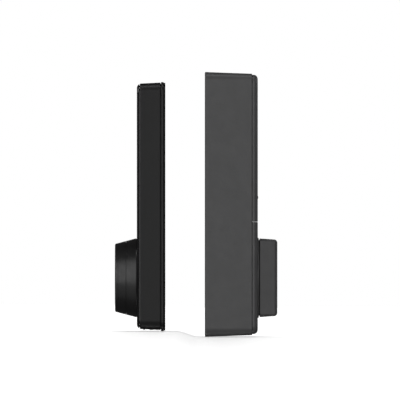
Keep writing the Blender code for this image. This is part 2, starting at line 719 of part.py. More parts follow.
def make_in_case():
    case = slab(
        "interior_housing", IN_WIDTH, IN_LOW, IN_HIGH, IN_BACK, IN_CASE_FACE, IN_CORNER, IN_DRAFT,
        soft=0.0004, corner_steps=5,
    )
    inner_face = IN_CASE_FACE - FRONT_WALL
    cut(case, slab(
        "in_cavity", IN_WIDTH - 2 * IN_WALL, IN_LOW + IN_WALL, IN_HIGH - IN_WALL, IN_BACK - PAST,
        inner_face, IN_CORNER - IN_WALL, IN_DRAFT,
    ))
    through = (inner_face - 0.0002, IN_CASE_FACE + PAST)
    cut(case, block("battery_window", (-TRAY_HALF - CLEAR, TRAY_HALF + CLEAR), through,
                    (TRAY_LOW - CLEAR, TRAY_HIGH + CLEAR)))
    notch_half = LATCH_FLANGE_HALF + 2 * CLEAR
    cut(case, block("latch_notch", (-notch_half, notch_half), through, (LATCH_HEIGHT - 0.0026, TRAY_LOW)))
    cut(case, rod("bush_bore", BUSH_RADIUS + CLEAR, through, sides=24))
    cut(case, rod("button_hole", BUTTON_RADIUS + CLEAR, through, BUTTON_SPOT, 16))
    for spot in SCREW_SPOTS:
        cut(case, rod("case_screw_hole", SCREW_SHANK_RADIUS + CLEAR, through, spot, 16))
    return finish(case, "grey_case")


def front_cover(name, low, high):
    """The part of the rounded front cover between two heights, open towards the housing."""
    inset = IN_DRAFT + COVER_INSET
    back = IN_CASE_FACE + CLEAR
    cover = slab(
        name, IN_WIDTH - 2 * inset, IN_LOW + inset, IN_HIGH - inset, back, IN_FACE,
        IN_CORNER - COVER_INSET, soft=COVER_ROUND, corner_steps=5, soft_steps=4,
    )
    inset += COVER_WALL
    cut(cover, slab(
        name + "_hollow", IN_WIDTH - 2 * inset, IN_LOW + inset, IN_HIGH - inset, back - PAST,
        IN_FACE - COVER_WALL, IN_CORNER - COVER_INSET - COVER_WALL, soft=0.0010,
    ))
    past = (back - PAST, IN_FACE + PAST)
    if low is not None:
        cut(cover, block(name + "_below", EVERYWHERE, past, (EVERYWHERE[0], low)))
    if high is not None:
        cut(cover, block(name + "_above", EVERYWHERE, past, (high, EVERYWHERE[1])))
    return finish(cover, "grey_cover")


def make_covers():
    through = (IN_CASE_FACE - PAST, IN_FACE + PAST)
    lower = front_cover("lower_cover", None, SEAM - CLEAR / 2)
    cut(lower, rod("rose_bore", ROSE_RADIUS + 2 * CLEAR, through, sides=48))
    upper = front_cover("battery_cover", SEAM + CLEAR / 2, None)
    half = LATCH_HALF + CLEAR
    cut(upper, block("latch_window", (-half, half), through,
                     (LATCH_HEIGHT - LATCH_HALF_HEIGHT - CLEAR, LATCH_HEIGHT + LATCH_HALF_HEIGHT + CLEAR)))
    set_origin(upper, (0.0, IN_CASE_FACE, SEAM))


def make_latch():
    """The battery cover's push latch: a bar in the cover's window, with a flange behind it."""
    spot = (0.0, IN_FACE, LATCH_HEIGHT)
    latch = slab(
        "cover_latch", 2 * LATCH_HALF, LATCH_HEIGHT - LATCH_HALF_HEIGHT, LATCH_HEIGHT + LATCH_HALF_HEIGHT,
        0.0445, IN_FACE + 0.00045, 0.0004, soft=0.0003, corner_steps=2,
    )
    join(latch, block("latch_flange", (-LATCH_FLANGE_HALF, LATCH_FLANGE_HALF), (0.0439, 0.0450),
                      (LATCH_HEIGHT - 0.0020, LATCH_HEIGHT + 0.0020)))
    return finish(set_origin(latch, spot), "black_plastic")


def make_thumbturn():
    rose = turned("thumbturn_rose", (
        (SHAFT_BORE, ROSE_FACE),
        (ROSE_RADIUS - 0.0005, ROSE_FACE),
        (ROSE_RADIUS, ROSE_FACE - 0.0005),
        (ROSE_RADIUS, IN_CASE_FACE + CLEAR),
        (SHAFT_BORE, IN_CASE_FACE + CLEAR),
    ), 48)
    finish(rose, "grey_cover")

    bar = slab(
        "thumbturn", TURN_WIDTH, -TURN_LENGTH / 2, TURN_LENGTH / 2, TURN_BASE, TURN_FACE,
        0.0040, draft=0.0006, soft=0.0022, corner_steps=5, soft_steps=4,
    )
    join(bar, rod("turn_shaft", SHAFT_RADIUS, (SHAFT_END, TURN_BASE + 0.0010), sides=24))
    cut(bar, block("tailpiece_slot", (-0.0013, 0.0013), (SHAFT_END - PAST, 0.0280), (-0.0042, 0.0042)))
    finish(bar, "grey_cover")

    bush_face = IN_CASE_FACE - 0.0001
    bush = turned("shaft_bush", (
        (SHAFT_BORE, bush_face),
        (BUSH_RADIUS, bush_face),
        (BUSH_RADIUS, BUSH_FLANGE[1]),
        (BUSH_FLANGE_RADIUS, BUSH_FLANGE[1]),
        (BUSH_FLANGE_RADIUS, BUSH_FLANGE[0]),
        (SHAFT_BORE, BUSH_FLANGE[0]),
    ), 24)
    finish(bush, "nylon")

    past_clip = (TURN_CLIP[0] - PAST, TURN_CLIP[1] + PAST)
    clip = rod("thumbturn_clip", TURN_CLIP_RADIUS, TURN_CLIP, sides=24)
    cut(clip, rod("turn_clip_bore", SHAFT_BORE, past_clip, sides=24))
    cut(clip, block("turn_clip_mouth", CLIP_MOUTH_X, past_clip, CLIP_MOUTH_Z))
    return finish(clip, "steel")


def make_gears():
    """The train from the motor to the thumbturn shaft, every pair in mesh at rest."""
    main = outline_plate(
        "spindle_gear", gear_outline(MAIN_TEETH, MAIN_MODULE, IDLER_DIRECTION), GEAR_SPAN, (0.0, 0.0)
    )
    join(main, rod("spindle_hub", 0.0085, HUB_SPAN))
    cut(main, rod("spindle_bore", SHAFT_BORE, (HUB_SPAN[0] - PAST, HUB_SPAN[1] + PAST), sides=24))
    finish(main, "nylon")

    facing_main = IDLER_DIRECTION + math.pi + math.pi / PINION_TEETH
    idler = outline_plate(
        "idler_gear", gear_outline(WHEEL_TEETH, FAST_MODULE, MOTOR_DIRECTION), WHEEL_SPAN, IDLER_SPOT
    )
    small = outline_plate(
        "idler_pinion", gear_outline(PINION_TEETH, MAIN_MODULE, facing_main),
        (GEAR_SPAN[0] - 0.0002, WHEEL_SPAN[0] + 0.0005), IDLER_SPOT,
    )
    join(idler, small)
    cut(idler, rod("idler_bore", AXLE_HOLE, (GEAR_SPAN[0] - PAST, WHEEL_SPAN[1] + PAST), IDLER_SPOT, 16))
    finish(set_origin(idler, (IDLER_SPOT[0], 0.0, IDLER_SPOT[1])), "nylon")
    axle = rod("idler_axle", AXLE_RADIUS, (PLATE_FACE + CLEAR, GEARBOX_SPAN[1]), IDLER_SPOT, 16)
    finish(axle, "steel")

    facing_wheel = MOTOR_DIRECTION + math.pi + math.pi / PINION_TEETH
    pinion = outline_plate(
        "motor_pinion", gear_outline(PINION_TEETH, FAST_MODULE, facing_wheel),
        (WHEEL_SPAN[0] - 0.0003, WHEEL_SPAN[1] + 0.0003), MOTOR_SPOT,
    )
    join(pinion, rod("motor_shaft", MOTOR_SHAFT_RADIUS, (WHEEL_SPAN[1], 0.0290), MOTOR_SPOT, 12))
    return finish(set_origin(pinion, (MOTOR_SPOT[0], 0.0, MOTOR_SPOT[1])), "brass")


def make_gearbox():
    """The plate that carries the motor and the idler's axle on two posts."""
    plate = block("gearbox_plate", (-0.0320, 0.0270), GEARBOX_SPAN, (-0.0325, -0.0090))
    past = (GEARBOX_SPAN[0] - PAST, GEARBOX_SPAN[1] + PAST)
    for spot in GEARBOX_POSTS:
        join(plate, rod("gearbox_post", 0.0024, (PLATE_FACE + CLEAR, GEARBOX_SPAN[0] + 0.0005), spot, 16))
    cut(plate, rod("axle_hole", AXLE_HOLE, past, IDLER_SPOT, 16))
    cut(plate, rod("motor_hole", MOTOR_BOSS_RADIUS + CLEAR, past, MOTOR_SPOT, 20))
    finish(plate, "black_plastic")

    body = (GEARBOX_SPAN[1] + CLEAR, 0.0405)
    motor = rod("motor", MOTOR_RADIUS, body, MOTOR_SPOT, 24)
    join(motor, rod("motor_boss", MOTOR_BOSS_RADIUS, (MOTOR_BOSS_BACK, body[0] + 0.0010), MOTOR_SPOT, 20))
    bearing = (MOTOR_BOSS_BACK - PAST, 0.0300)
    cut(motor, rod("motor_bearing", MOTOR_SHAFT_RADIUS + CLEAR, bearing, MOTOR_SPOT, 12))
    return finish(motor, "steel")


def make_batteries():
    tray = block("battery_tray", (-TRAY_HALF, TRAY_HALF), (TRAY_BACK, TRAY_FACE), (TRAY_LOW, TRAY_HIGH))
    cut(tray, block("tray_hollow", (-TRAY_HALF + TRAY_WALL, TRAY_HALF - TRAY_WALL),
                    (TRAY_BACK + TRAY_WALL, TRAY_FACE + PAST),
                    (TRAY_LOW + TRAY_WALL, TRAY_HIGH - TRAY_WALL)))
    finish(tray, "black_plastic")

    for number in range(4):
        name = f"battery_{number + 1}"
        x = (number - 1.5) * CELL_PITCH
        cell = rod(name, CELL_RADIUS, (-CELL_LENGTH / 2, CELL_LENGTH / 2), sides=24)
        tip = (CELL_LENGTH / 2 - 0.0005, CELL_LENGTH / 2 + CELL_TIP)
        nub = rod(name + "_tip", 0.0027, tip, sides=12)
        up = number % 2 == 0
        for piece in (cell, nub):
            piece.rotation_euler = (math.pi / 2 if up else -math.pi / 2, 0.0, 0.0)
            middle = CELL_LOW + CELL_LENGTH / 2 + (0.0 if up else CELL_TIP)
            piece.location = (x, CELL_Y, middle)
        finish(join(cell, nub), "cell_sleeve")

    strip = 0.0005
    low = TRAY_LOW + TRAY_WALL + CLEAR
    high = TRAY_HIGH - TRAY_WALL - CLEAR
    spans = {"battery_contact_lower": (low, low + strip), "battery_contact_upper": (high - strip, high)}
    for name, span in spans.items():
        finish(block(name, (-0.0290, 0.0290), (CELL_Y - 0.0050, CELL_Y + 0.0050), span), "steel")


def make_electronics():
    board = block("main_circuit_board", (-0.0310, 0.0310), MAIN_BOARD_Y, (0.0400, 0.1260))
    past = (MAIN_BOARD_Y[0] - PAST, MAIN_BOARD_Y[1] + PAST)
    for spot in SCREW_SPOTS:
        cut(board, rod("board_notch", PLATE_POST_RADIUS + 0.0004, past, spot, 20))
    finish(board, "green_board")
    on_board = (MAIN_BOARD_Y[1] + CLEAR, 0.0230)
    finish(block("cable_socket", (-0.0070, 0.0070), on_board, (0.0410, 0.0450)), "nylon")
    finish(rod("buzzer", 0.0045, on_board, (-0.0170, 0.0500), 20), "black_plastic")
    button = rod("settings_button", BUTTON_RADIUS, (0.0200, IN_CASE_FACE + 0.0002), BUTTON_SPOT, 16)
    return finish(set_origin(button, (BUTTON_SPOT[0], IN_CASE_FACE, BUTTON_SPOT[1])), "rubber")


def make_in_screws():
    head = (IN_CASE_FACE + CLEAR, IN_CASE_FACE + 0.0014)
    for name, spot in zip(("housing_screw_left", "housing_screw_right"), SCREW_SPOTS):
        screw = rod(name, SCREW_HEAD_RADIUS, head, spot, 20)
        join(screw, rod(name + "_shank", SCREW_SHANK_RADIUS, (0.0165, head[0] + 0.0003), spot, 12))
        for x, z in ((0.0018, 0.0003), (0.0003, 0.0018)):
            cut(screw, block(name + "_recess", (spot[0] - x, spot[0] + x),
                             (head[1] - 0.0006, head[1] + PAST), (spot[1] - z, spot[1] + z)))
        finish(screw, "steel")


def make_keypad_unit():
    make_gasket()
    make_back_plate()
    make_out_screws()
    make_out_case()
    make_front_panel()
    for name, x, z in key_spots():
        make_key(name, x, z)
    make_membrane()
    make_keypad_board()
    make_sensor()
    make_light()
    make_collar()
    make_cylinder()
    make_port()


def make_indoor_unit():
    make_mounting_plate()
    make_in_case()
    make_covers()
    make_latch()
    make_thumbturn()
    make_gears()
    make_gearbox()
    make_batteries()
    make_electronics()
    make_in_screws()


def smooth_shading():
    for obj in PARTS.objects:
        obj.data.shade_smooth()
        obj.data.set_sharp_from_angle(angle=math.radians(30))


clear_scene()
PARTS = new_collection("keypad_smart_lock")
TOOLS = new_collection("cutters")
make_keypad_unit()
make_indoor_unit()
smooth_shading()
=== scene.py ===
"""The keypad smart lock as it looks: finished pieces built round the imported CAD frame.

Everything is in metres in the CAD frame: +Z is up, the keypad unit faces -Y, the indoor unit faces +Y.
"""

import math

import bmesh
import bpy
from mathutils import Matrix, Vector


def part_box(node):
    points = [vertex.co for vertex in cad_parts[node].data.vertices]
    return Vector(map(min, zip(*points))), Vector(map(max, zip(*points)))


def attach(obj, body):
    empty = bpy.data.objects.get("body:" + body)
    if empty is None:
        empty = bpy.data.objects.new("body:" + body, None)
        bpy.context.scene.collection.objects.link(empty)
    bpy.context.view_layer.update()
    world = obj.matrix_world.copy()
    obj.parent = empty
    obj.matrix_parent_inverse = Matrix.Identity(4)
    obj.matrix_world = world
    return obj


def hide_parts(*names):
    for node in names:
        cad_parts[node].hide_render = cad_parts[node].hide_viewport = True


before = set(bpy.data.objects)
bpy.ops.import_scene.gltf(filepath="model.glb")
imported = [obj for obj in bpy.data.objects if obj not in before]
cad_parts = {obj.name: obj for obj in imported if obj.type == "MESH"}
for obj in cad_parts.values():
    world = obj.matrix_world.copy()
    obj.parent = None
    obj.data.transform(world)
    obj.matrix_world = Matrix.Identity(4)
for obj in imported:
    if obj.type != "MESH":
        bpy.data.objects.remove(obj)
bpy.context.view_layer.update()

OUT = -1.0  # the way the keypad unit faces along Y
IN = 1.0  # the way the indoor unit faces along Y
CORNER_STEPS = 12
ROUND_SIDES = 128
COLLAR_SIDES = 160
LEAST_CORNER = 0.00008  # a corner never shrinks below this as an outline is made smaller
CRISP_ANGLE = 35  # degrees, beyond which an edge stays crisp


# ---------------------------------------- shape tools

def spans(node):
    """The x, y and z spans of a CAD node, each as (low, high)."""
    low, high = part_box(node)
    return [(low[axis], high[axis]) for axis in range(3)]


def middle(span):
    return (span[0] + span[1]) / 2


def half(span):
    return (span[1] - span[0]) / 2


def grown(span, by):
    return (span[0] - by, span[1] + by)


def around(level, by):
    return (level - by, level + by)


def centre_of(node):
    """The middle of a CAD node along x and z."""
    x, _, z = spans(node)
    return (middle(x), middle(z))


def new_piece(name, bm, material=None):
    bmesh.ops.recalc_face_normals(bm, faces=bm.faces)
    mesh = bpy.data.meshes.new(name)
    bm.to_mesh(mesh)
    bm.free()
    piece = bpy.data.objects.new(name, mesh)
    bpy.context.scene.collection.objects.link(piece)
    if material is not None:
        mesh.materials.append(material)
    return piece


def outline(x, z, inset=0.0, corner=0.0, steps=CORNER_STEPS):
    """A rounded rectangle between two spans, made smaller by inset on every side."""
    radius = max(corner - inset, LEAST_CORNER)
    centres = (
        (x[1] - inset - radius, z[1] - inset - radius),
        (x[0] + inset + radius, z[1] - inset - radius),
        (x[0] + inset + radius, z[0] + inset + radius),
        (x[1] - inset - radius, z[0] + inset + radius),
    )
    points = []
    for quarter, (centre_x, centre_z) in enumerate(centres):
        for step in range(steps + 1):
            angle = math.pi / 2 * (quarter + step / steps)
            points.append((centre_x + radius * math.cos(angle), centre_z + radius * math.sin(angle)))
    return points


def circle(radius, centre=(0.0, 0.0), sides=ROUND_SIDES):
    turn = 2 * math.pi / sides
    return [
        (centre[0] + radius * math.cos(turn * side), centre[1] + radius * math.sin(turn * side))
        for side in range(sides)
    ]


def loft(name, rings, material=None):
    """A closed skin through rings of (points, y), capped at both ends."""
    bm = bmesh.new()
    rows = [[bm.verts.new((x, y, z)) for x, z in points] for points, y in rings]
    for first, second in zip(rows, rows[1:]):
        for side in range(len(first)):
            after = (side + 1) % len(first)
            bm.faces.new((first[side], first[after], second[after], second[side]))
    bm.faces.new(rows[0])
    bm.faces.new(rows[-1])
    return new_piece(name, bm, material)


def shell(name, x, z, corner, path, material=None, steps=CORNER_STEPS):
    """A skin of rounded rectangles that follows a path of (inset, y)."""
    return loft(name, [(outline(x, z, inset, corner, steps), y) for inset, y in path], material)


def revolve(name, profile, material=None, centre=(0.0, 0.0), sides=ROUND_SIDES, loop=False):
    """A solid turned about a line along Y from a path of (radius, y); a loop makes a ring."""
    bm = bmesh.new()
    rows = [[bm.verts.new((px, y, pz)) for px, pz in circle(radius, centre, sides)] for radius, y in profile]
    pairs = list(zip(rows, rows[1:]))
    if loop:
        pairs.append((rows[-1], rows[0]))
    for first, second in pairs:
        for side in range(sides):
            after = (side + 1) % sides
            bm.faces.new((first[side], first[after], second[after], second[side]))
    if not loop:
        bm.faces.new(rows[0])
        bm.faces.new(rows[-1])
    return new_piece(name, bm, material)


def rounded(inset, face, radius, way, steps=6):
    """Path points that turn from the side of a slab onto its face through a quarter circle."""
    points = []
    for step in range(steps + 1):
        angle = math.pi / 2 * step / steps
        points.append((
            inset + radius * (1 - math.cos(angle)),
            face - way * radius * (1 - math.sin(angle)),
        ))
    return points


def turned_edge(radius, face, edge, way, steps=5):
    """Profile points that round the outer edge of a disc of this radius onto its face."""
    return [(radius - inset, y) for inset, y in rounded(0.0, face, edge, way, steps)]


def turned_bore(radius, face, edge, way, steps):
    """Profile points that round the mouth of a bore, from its face back into it."""
    return [(radius + inset, y) for inset, y in reversed(rounded(0.0, face, edge, way, steps))]


def prism(name, points, y):
    return loft(name, [(points, y[0]), (points, y[1])])


def bar(name, x, y, z):
    return prism(name, [(x[0], z[0]), (x[1], z[0]), (x[1], z[1]), (x[0], z[1])], y)


def hole(name, radius, y, centre=(0.0, 0.0), sides=64):
    """A round cutter along Y."""
    return revolve(name, [(radius, y[1]), (radius, y[0])], centre=centre, sides=sides)


def soft_block(name, box, edge, material=None):
    """A block between an x, a y and a z span, with all its edges rounded."""
    bm = bmesh.new()
    bmesh.ops.create_cube(bm, size=1.0)
    for vert in bm.verts:
        vert.co = [span[1] if part > 0 else span[0] for span, part in zip(box, vert.co)]
    bmesh.ops.bevel(bm, geom=bm.edges[:], offset=edge, segments=3, profile=0.5, affect="EDGES")
    return new_piece(name, bm, material)


def worked_mesh(source):
    """The mesh that an object's modifiers, or a curve's settings, come to."""
    bpy.context.view_layer.update()
    return bpy.data.meshes.new_from_object(source.evaluated_get(bpy.context.evaluated_depsgraph_get()))


def curve_mesh(name, curve):
    """The mesh of a curve or a text."""
    guide = bpy.data.objects.new(name, curve)
    bpy.context.scene.collection.objects.link(guide)
    mesh = worked_mesh(guide)
    bpy.data.objects.remove(guide, do_unlink=True)
    return mesh


def combine(piece, tools, operation):
    for tool in tools:
        change = piece.modifiers.new(tool.name, "BOOLEAN")
        change.operation = operation
        change.solver = "EXACT"
        change.object = tool
    mesh = worked_mesh(piece)
    piece.modifiers.clear()
    piece.data = mesh
    for tool in tools:
        bpy.data.objects.remove(tool, do_unlink=True)
    return piece


def cut(piece, *tools):
    return combine(piece, tools, "DIFFERENCE")


def join(piece, *tools):
    return combine(piece, tools, "UNION")


def finish(piece, body, slot_name, *nodes):
    """Smooth shading with crisp edges, and the piece's place in the frame."""
    mesh = piece.data
    mesh.shade_smooth()
    mesh.set_sharp_from_angle(angle=math.radians(CRISP_ANGLE))
    weighted = piece.modifiers.new("even_normals", "WEIGHTED_NORMAL")
    weighted.keep_sharp = True
    weighted.weight = 80
    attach(piece, body)
    if nodes:
        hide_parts(*nodes)
    return piece


# ---------------------------------------- materials

def start_material(name):
    material = bpy.data.materials.new(name)
    material.use_nodes = True
    nodes = material.node_tree.nodes
    return material, nodes, material.node_tree.links, nodes["Principled BSDF"]


def noise(nodes, links, scale, detail=3.0, stretch=None):
    """Noise over the piece's own coordinates, drawn out along some axes if stretch is given."""
    place = nodes.new("ShaderNodeTexCoord")
    texture = nodes.new("ShaderNodeTexNoise")
    texture.inputs["Scale"].default_value = scale
    texture.inputs["Detail"].default_value = detail
    source = place.outputs["Object"]
    if stretch is not None:
        mapping = nodes.new("ShaderNodeMapping")
        mapping.inputs["Scale"].default_value = stretch
        links.new(source, mapping.inputs["Vector"])
        source = mapping.outputs["Vector"]
    links.new(source, texture.inputs["Vector"])
    return texture.outputs["Fac"]


def spread(nodes, links, factor, low, high, start=0.3, end=0.7):
    """A number that runs from low to high as factor runs from start to end."""
    ranger = nodes.new("ShaderNodeMapRange")
    ranger.inputs["From Min"].default_value = start
    ranger.inputs["From Max"].default_value = end
    ranger.inputs["To Min"].default_value = low
    ranger.inputs["To Max"].default_value = high
    links.new(factor, ranger.inputs["Value"])
    return ranger.outputs["Result"]


def shades(nodes, links, factor, dark, light, start=0.3, end=0.7):
    ramp = nodes.new("ShaderNodeValToRGB")
    ramp.color_ramp.elements[0].position = start
    ramp.color_ramp.elements[0].color = (*dark, 1.0)
    ramp.color_ramp.elements[1].position = end
    ramp.color_ramp.elements[1].color = (*light, 1.0)
    links.new(factor, ramp.inputs["Fac"])
    return ramp.outputs["Color"]


def relief(nodes, links, shader, height, strength, distance):
    bump = nodes.new("ShaderNodeBump")
    bump.inputs["Strength"].default_value = strength
    bump.inputs["Distance"].default_value = distance
    links.new(height, bump.inputs["Height"])
    links.new(bump.outputs["Normal"], shader.inputs["Normal"])


def scaled(colour, factor):
    return tuple(part * factor for part in colour)


def coated(name, colour, roughness, grain, depth, vary=0.12, specular=0.5):
    """Paint or moulded plastic: finely grained, its colour and gloss slightly clouded."""
    material, nodes, links, shader = start_material(name)
    shader.inputs["Specular IOR Level"].default_value = specular
    clouds = noise(nodes, links, 90.0, 4.0)
    links.new(
        shades(nodes, links, clouds, scaled(colour, 1 - vary), scaled(colour, 1 + vary)),
        shader.inputs["Base Color"],
    )
    patches = noise(nodes, links, 260.0, 3.0)
    links.new(
        spread(nodes, links, patches, roughness * 0.93, roughness * 1.07), shader.inputs["Roughness"]
    )
    relief(nodes, links, shader, noise(nodes, links, grain, 2.0), 0.35, depth)
    return material


def brushed(name, colour, roughness, stretch, metallic=1.0, depth=0.00002):
    """Metal with fine streaks, drawn out along the axis whose stretch is smallest."""
    material, nodes, links, shader = start_material(name)
    shader.inputs["Metallic"].default_value = metallic
    streaks = noise(nodes, links, 400.0, 5.0, stretch)
    links.new(
        shades(nodes, links, streaks, scaled(colour, 0.86), scaled(colour, 1.08)),
        shader.inputs["Base Color"],
    )
    links.new(
        spread(nodes, links, streaks, roughness * 0.8, roughness * 1.25), shader.inputs["Roughness"]
    )
    relief(nodes, links, shader, streaks, 0.25, depth)
    return material


BLACK_CASE = coated("black_powder_coat", (0.0062, 0.0062, 0.0065), 0.40, 2600.0, 0.00003, specular=0.34)
BLACK_COLLAR = coated("black_collar_coat", (0.0070, 0.0070, 0.0073), 0.36, 3000.0, 0.00002, specular=0.52)
GREY_CASE = coated("grey_powder_coat", (0.0765, 0.0765, 0.078), 0.46, 2400.0, 0.00003, vary=0.05)
GREY_COVER = coated("grey_moulding", (0.074, 0.074, 0.0755), 0.42, 3000.0, 0.00002, vary=0.05)
# painted light: the thumbturn and its rose get a lighter copy of the case's grey, which makes up for light
# they lack where they sit in front of the cover
GREY_TURN_LIT = coated("grey_turn_lit_coat", (0.108, 0.108, 0.1100), 0.40, 3000.0, 0.00002, vary=0.05)
PANEL = coated("gloss_panel", (0.0060, 0.0060, 0.0065), 0.13, 900.0, 0.00001, vary=0.08)
KEYCAP = coated("key_plastic", (0.0100, 0.0100, 0.0105), 0.30, 3600.0, 0.00002)
RUBBER = coated("rubber", (0.0025, 0.0025, 0.0025), 0.85, 1800.0, 0.00006, vary=0.2, specular=0.15)
BLACK_PLASTIC = coated("black_plastic", (0.0140, 0.0140, 0.0145), 0.50, 2200.0, 0.00004)
NYLON = coated("nylon", (0.62, 0.60, 0.55), 0.48, 1500.0, 0.00003, vary=0.06)
STEEL = brushed("brushed_steel", (0.46, 0.46, 0.47), 0.34, (1.0, 1.0, 14.0))
ZINC = brushed("zinc_plate", (0.40, 0.41, 0.43), 0.46, (1.0, 1.0, 1.0), 0.75, 0.000004)
BRASS = brushed("brass", (0.58, 0.42, 0.18), 0.32, (1.0, 12.0, 1.0))


def board_material():
    """Green solder mask with paler copper tracks under it."""
    material, nodes, links, shader = start_material("circuit_board")
    shader.inputs["Roughness"].default_value = 0.35
    shader.inputs["Coat Weight"].default_value = 0.3
    place = nodes.new("ShaderNodeTexCoord")
    tracks = nodes.new("ShaderNodeTexVoronoi")
    tracks.feature = "DISTANCE_TO_EDGE"
    tracks.distance = "EUCLIDEAN"
    tracks.inputs["Scale"].default_value = 260.0
    links.new(place.outputs["Object"], tracks.inputs["Vector"])
    links.new(
        shades(nodes, links, tracks.outputs["Distance"], (0.05, 0.30, 0.12), (0.008, 0.10, 0.04), 0.04, 0.09),
        shader.inputs["Base Color"],
    )
    relief(nodes, links, shader, tracks.outputs["Distance"], 0.2, 0.00003)
    return material


CELL_HALF = 0.0255  # half of the length over which the sleeve's colours are laid
BAND_EDGE = (0.735, 0.745)  # where the dark body ends and the band begins, as shares of that length


def sleeve_material():
    """Battery sleeve: a plain dark body with a copper-coloured band at the positive end."""
    material, nodes, links, shader = start_material("battery_sleeve")
    shader.inputs["Metallic"].default_value = 0.6
    place = nodes.new("ShaderNodeTexCoord")
    split = nodes.new("ShaderNodeSeparateXYZ")
    links.new(place.outputs["Object"], split.inputs["Vector"])
    along = spread(nodes, links, split.outputs["Y"], 0.0, 1.0, -CELL_HALF, CELL_HALF)
    links.new(
        shades(nodes, links, along, (0.018, 0.020, 0.026), (0.46, 0.20, 0.07), *BAND_EDGE),
        shader.inputs["Base Color"],
    )
    gloss = noise(nodes, links, 300.0, 3.0)
    links.new(spread(nodes, links, gloss, 0.22, 0.32), shader.inputs["Roughness"])
    return material


def lens_material():
    """A translucent light guide or backlit mark, a little brighter in places."""
    material, nodes, links, shader = start_material("light_lens")
    shader.inputs["Roughness"].default_value = 0.30
    glow = noise(nodes, links, 500.0, 2.0)
    links.new(shades(nodes, links, glow, (0.70, 0.78, 0.84), (0.82, 0.88, 0.92)), shader.inputs["Base Color"])
    return material


def sensor_material():
    """Dark glass over fine concentric rings."""
    material, nodes, links, shader = start_material("fingerprint_glass")
    shader.inputs["Roughness"].default_value = 0.14
    shader.inputs["Coat Weight"].default_value = 0.5
    place = nodes.new("ShaderNodeTexCoord")
    rings = nodes.new("ShaderNodeTexWave")
    rings.wave_type = "RINGS"
    rings.rings_direction = "Y"
    rings.inputs["Scale"].default_value = 420.0
    rings.inputs["Distortion"].default_value = 1.5
    links.new(place.outputs["Object"], rings.inputs["Vector"])
    links.new(
        shades(nodes, links, rings.outputs["Fac"], (0.008, 0.009, 0.011), (0.030, 0.034, 0.040)),
        shader.inputs["Base Color"],
    )
    relief(nodes, links, shader, rings.outputs["Fac"], 0.2, 0.00003)
    return material


BOARD = board_material()
SLEEVE = sleeve_material()
LENS = lens_material()
SENSOR = sensor_material()


# ---------------------------------------- keypad unit

CLEAR = 0.0003  # gap between pieces that rest on each other
HAIR = 0.00008  # gap drawn where pieces meet edge to edge
PAST = 0.002  # how far a cutter runs past its wall
OUT_CORNER = 0.0065
OUT_DRAFT = 0.0006
OUT_WALL = 0.0022
OUT_ROUND = 0.0030  # rounding shared by the housing's front edge and the panel
CASE_SETBACK = 0.0002  # of the housing's front edge from its box, which widens the shadow line
OUT_SCREWS = ("back_plate_screw_top", "back_plate_screw_left", "back_plate_screw_right")
RIM_REACH = 0.0012  # of the back plate's locating rim, into the housing
RIM_WALL = 0.0010
PLATE_LAND = 0.0012  # from the back plate's edge in to the land that closes its gap to the housing
BARREL_BORE = 0.0163  # radius of the openings round the key cylinder
SENSOR_BORE = 0.0083
LIGHT_X = (-0.0043, 0.0043)
LIGHT_HALF_HEIGHT = 0.0011
COLLAR_FACE_RADIUS = 0.02205
COLLAR_FOOT_RADIUS = 0.02585
COLLAR_DEPTH = 0.0143
LIP_REACH = 0.0009  # of the guard's lip, into the spinning ring
LIP_INSET = 0.0016
BOLT_REACH = 0.0120  # from the bore's axis out to each through bolt
BOLT_BORE = 0.0021
SLOT_X = (-0.0080, 0.0080)
SLOT_Z = (0.0195, 0.0255)
SLOT_CORNER = 0.0012
KEYWAY_END = -0.0210
PORT_RIBS = ((-0.0267, 0.0005), (-0.0219, 0.0012), (-0.0181, 0.0004))  # middle along Y, half width
KEY_CORNER = 0.0026
KEY_FLANGE = 0.0010  # past the cap on every side
KEY_MARGIN = 0.0014  # from the keys out to the edge of the housing's window
KEY_DISH = 0.00014
KEY_DISH_PATH = ((0.0010, 0.15), (0.0019, 0.6), (0.0030, 1.0))  # inset, and share of the dish's depth
NUMERAL_SIZE = 0.00648
STROKE_WIDTH = 0.00062
KEYS = [
    "key_1", "key_2", "key_3", "key_4", "key_5", "key_6",
    "key_7", "key_8", "key_9", "key_clear", "key_0", "key_enter",
]


def slot_cutter(name, y):
    return prism(name, outline(SLOT_X, SLOT_Z, 0.0, SLOT_CORNER, 6), y)


def screw_holes(name, radius, y):
    return [hole(name, radius, y, centre_of(node), 32) for node in OUT_SCREWS]


def bolt_holes(name, radius, y, sides):
    return [hole(name, radius, y, (side * BOLT_REACH, 0.0), sides) for side in (-1, 1)]


def light_z():
    return around(centre_of("status_light")[1], LIGHT_HALF_HEIGHT)


def out_gasket():
    x, y, z = spans("exterior_gasket")
    y = (spans("exterior_back_plate")[1][1], y[1])
    through = grown(y, PAST)
    corner = OUT_CORNER - 0.0005
    lip = 0.00015
    gasket = shell("door_gasket", x, z, corner, [
        (lip, y[0]), (0.0, y[0] + lip), (0.0, y[1] - lip), (lip, y[1]),
    ], RUBBER)
    tools = [hole("gasket_bore", 0.0150, through), slot_cutter("gasket_slot", through)]
    tools += screw_holes("gasket_screw", 0.0034, through)
    finish(cut(gasket, *tools), "lock_case", "soft_rubber", "exterior_gasket")


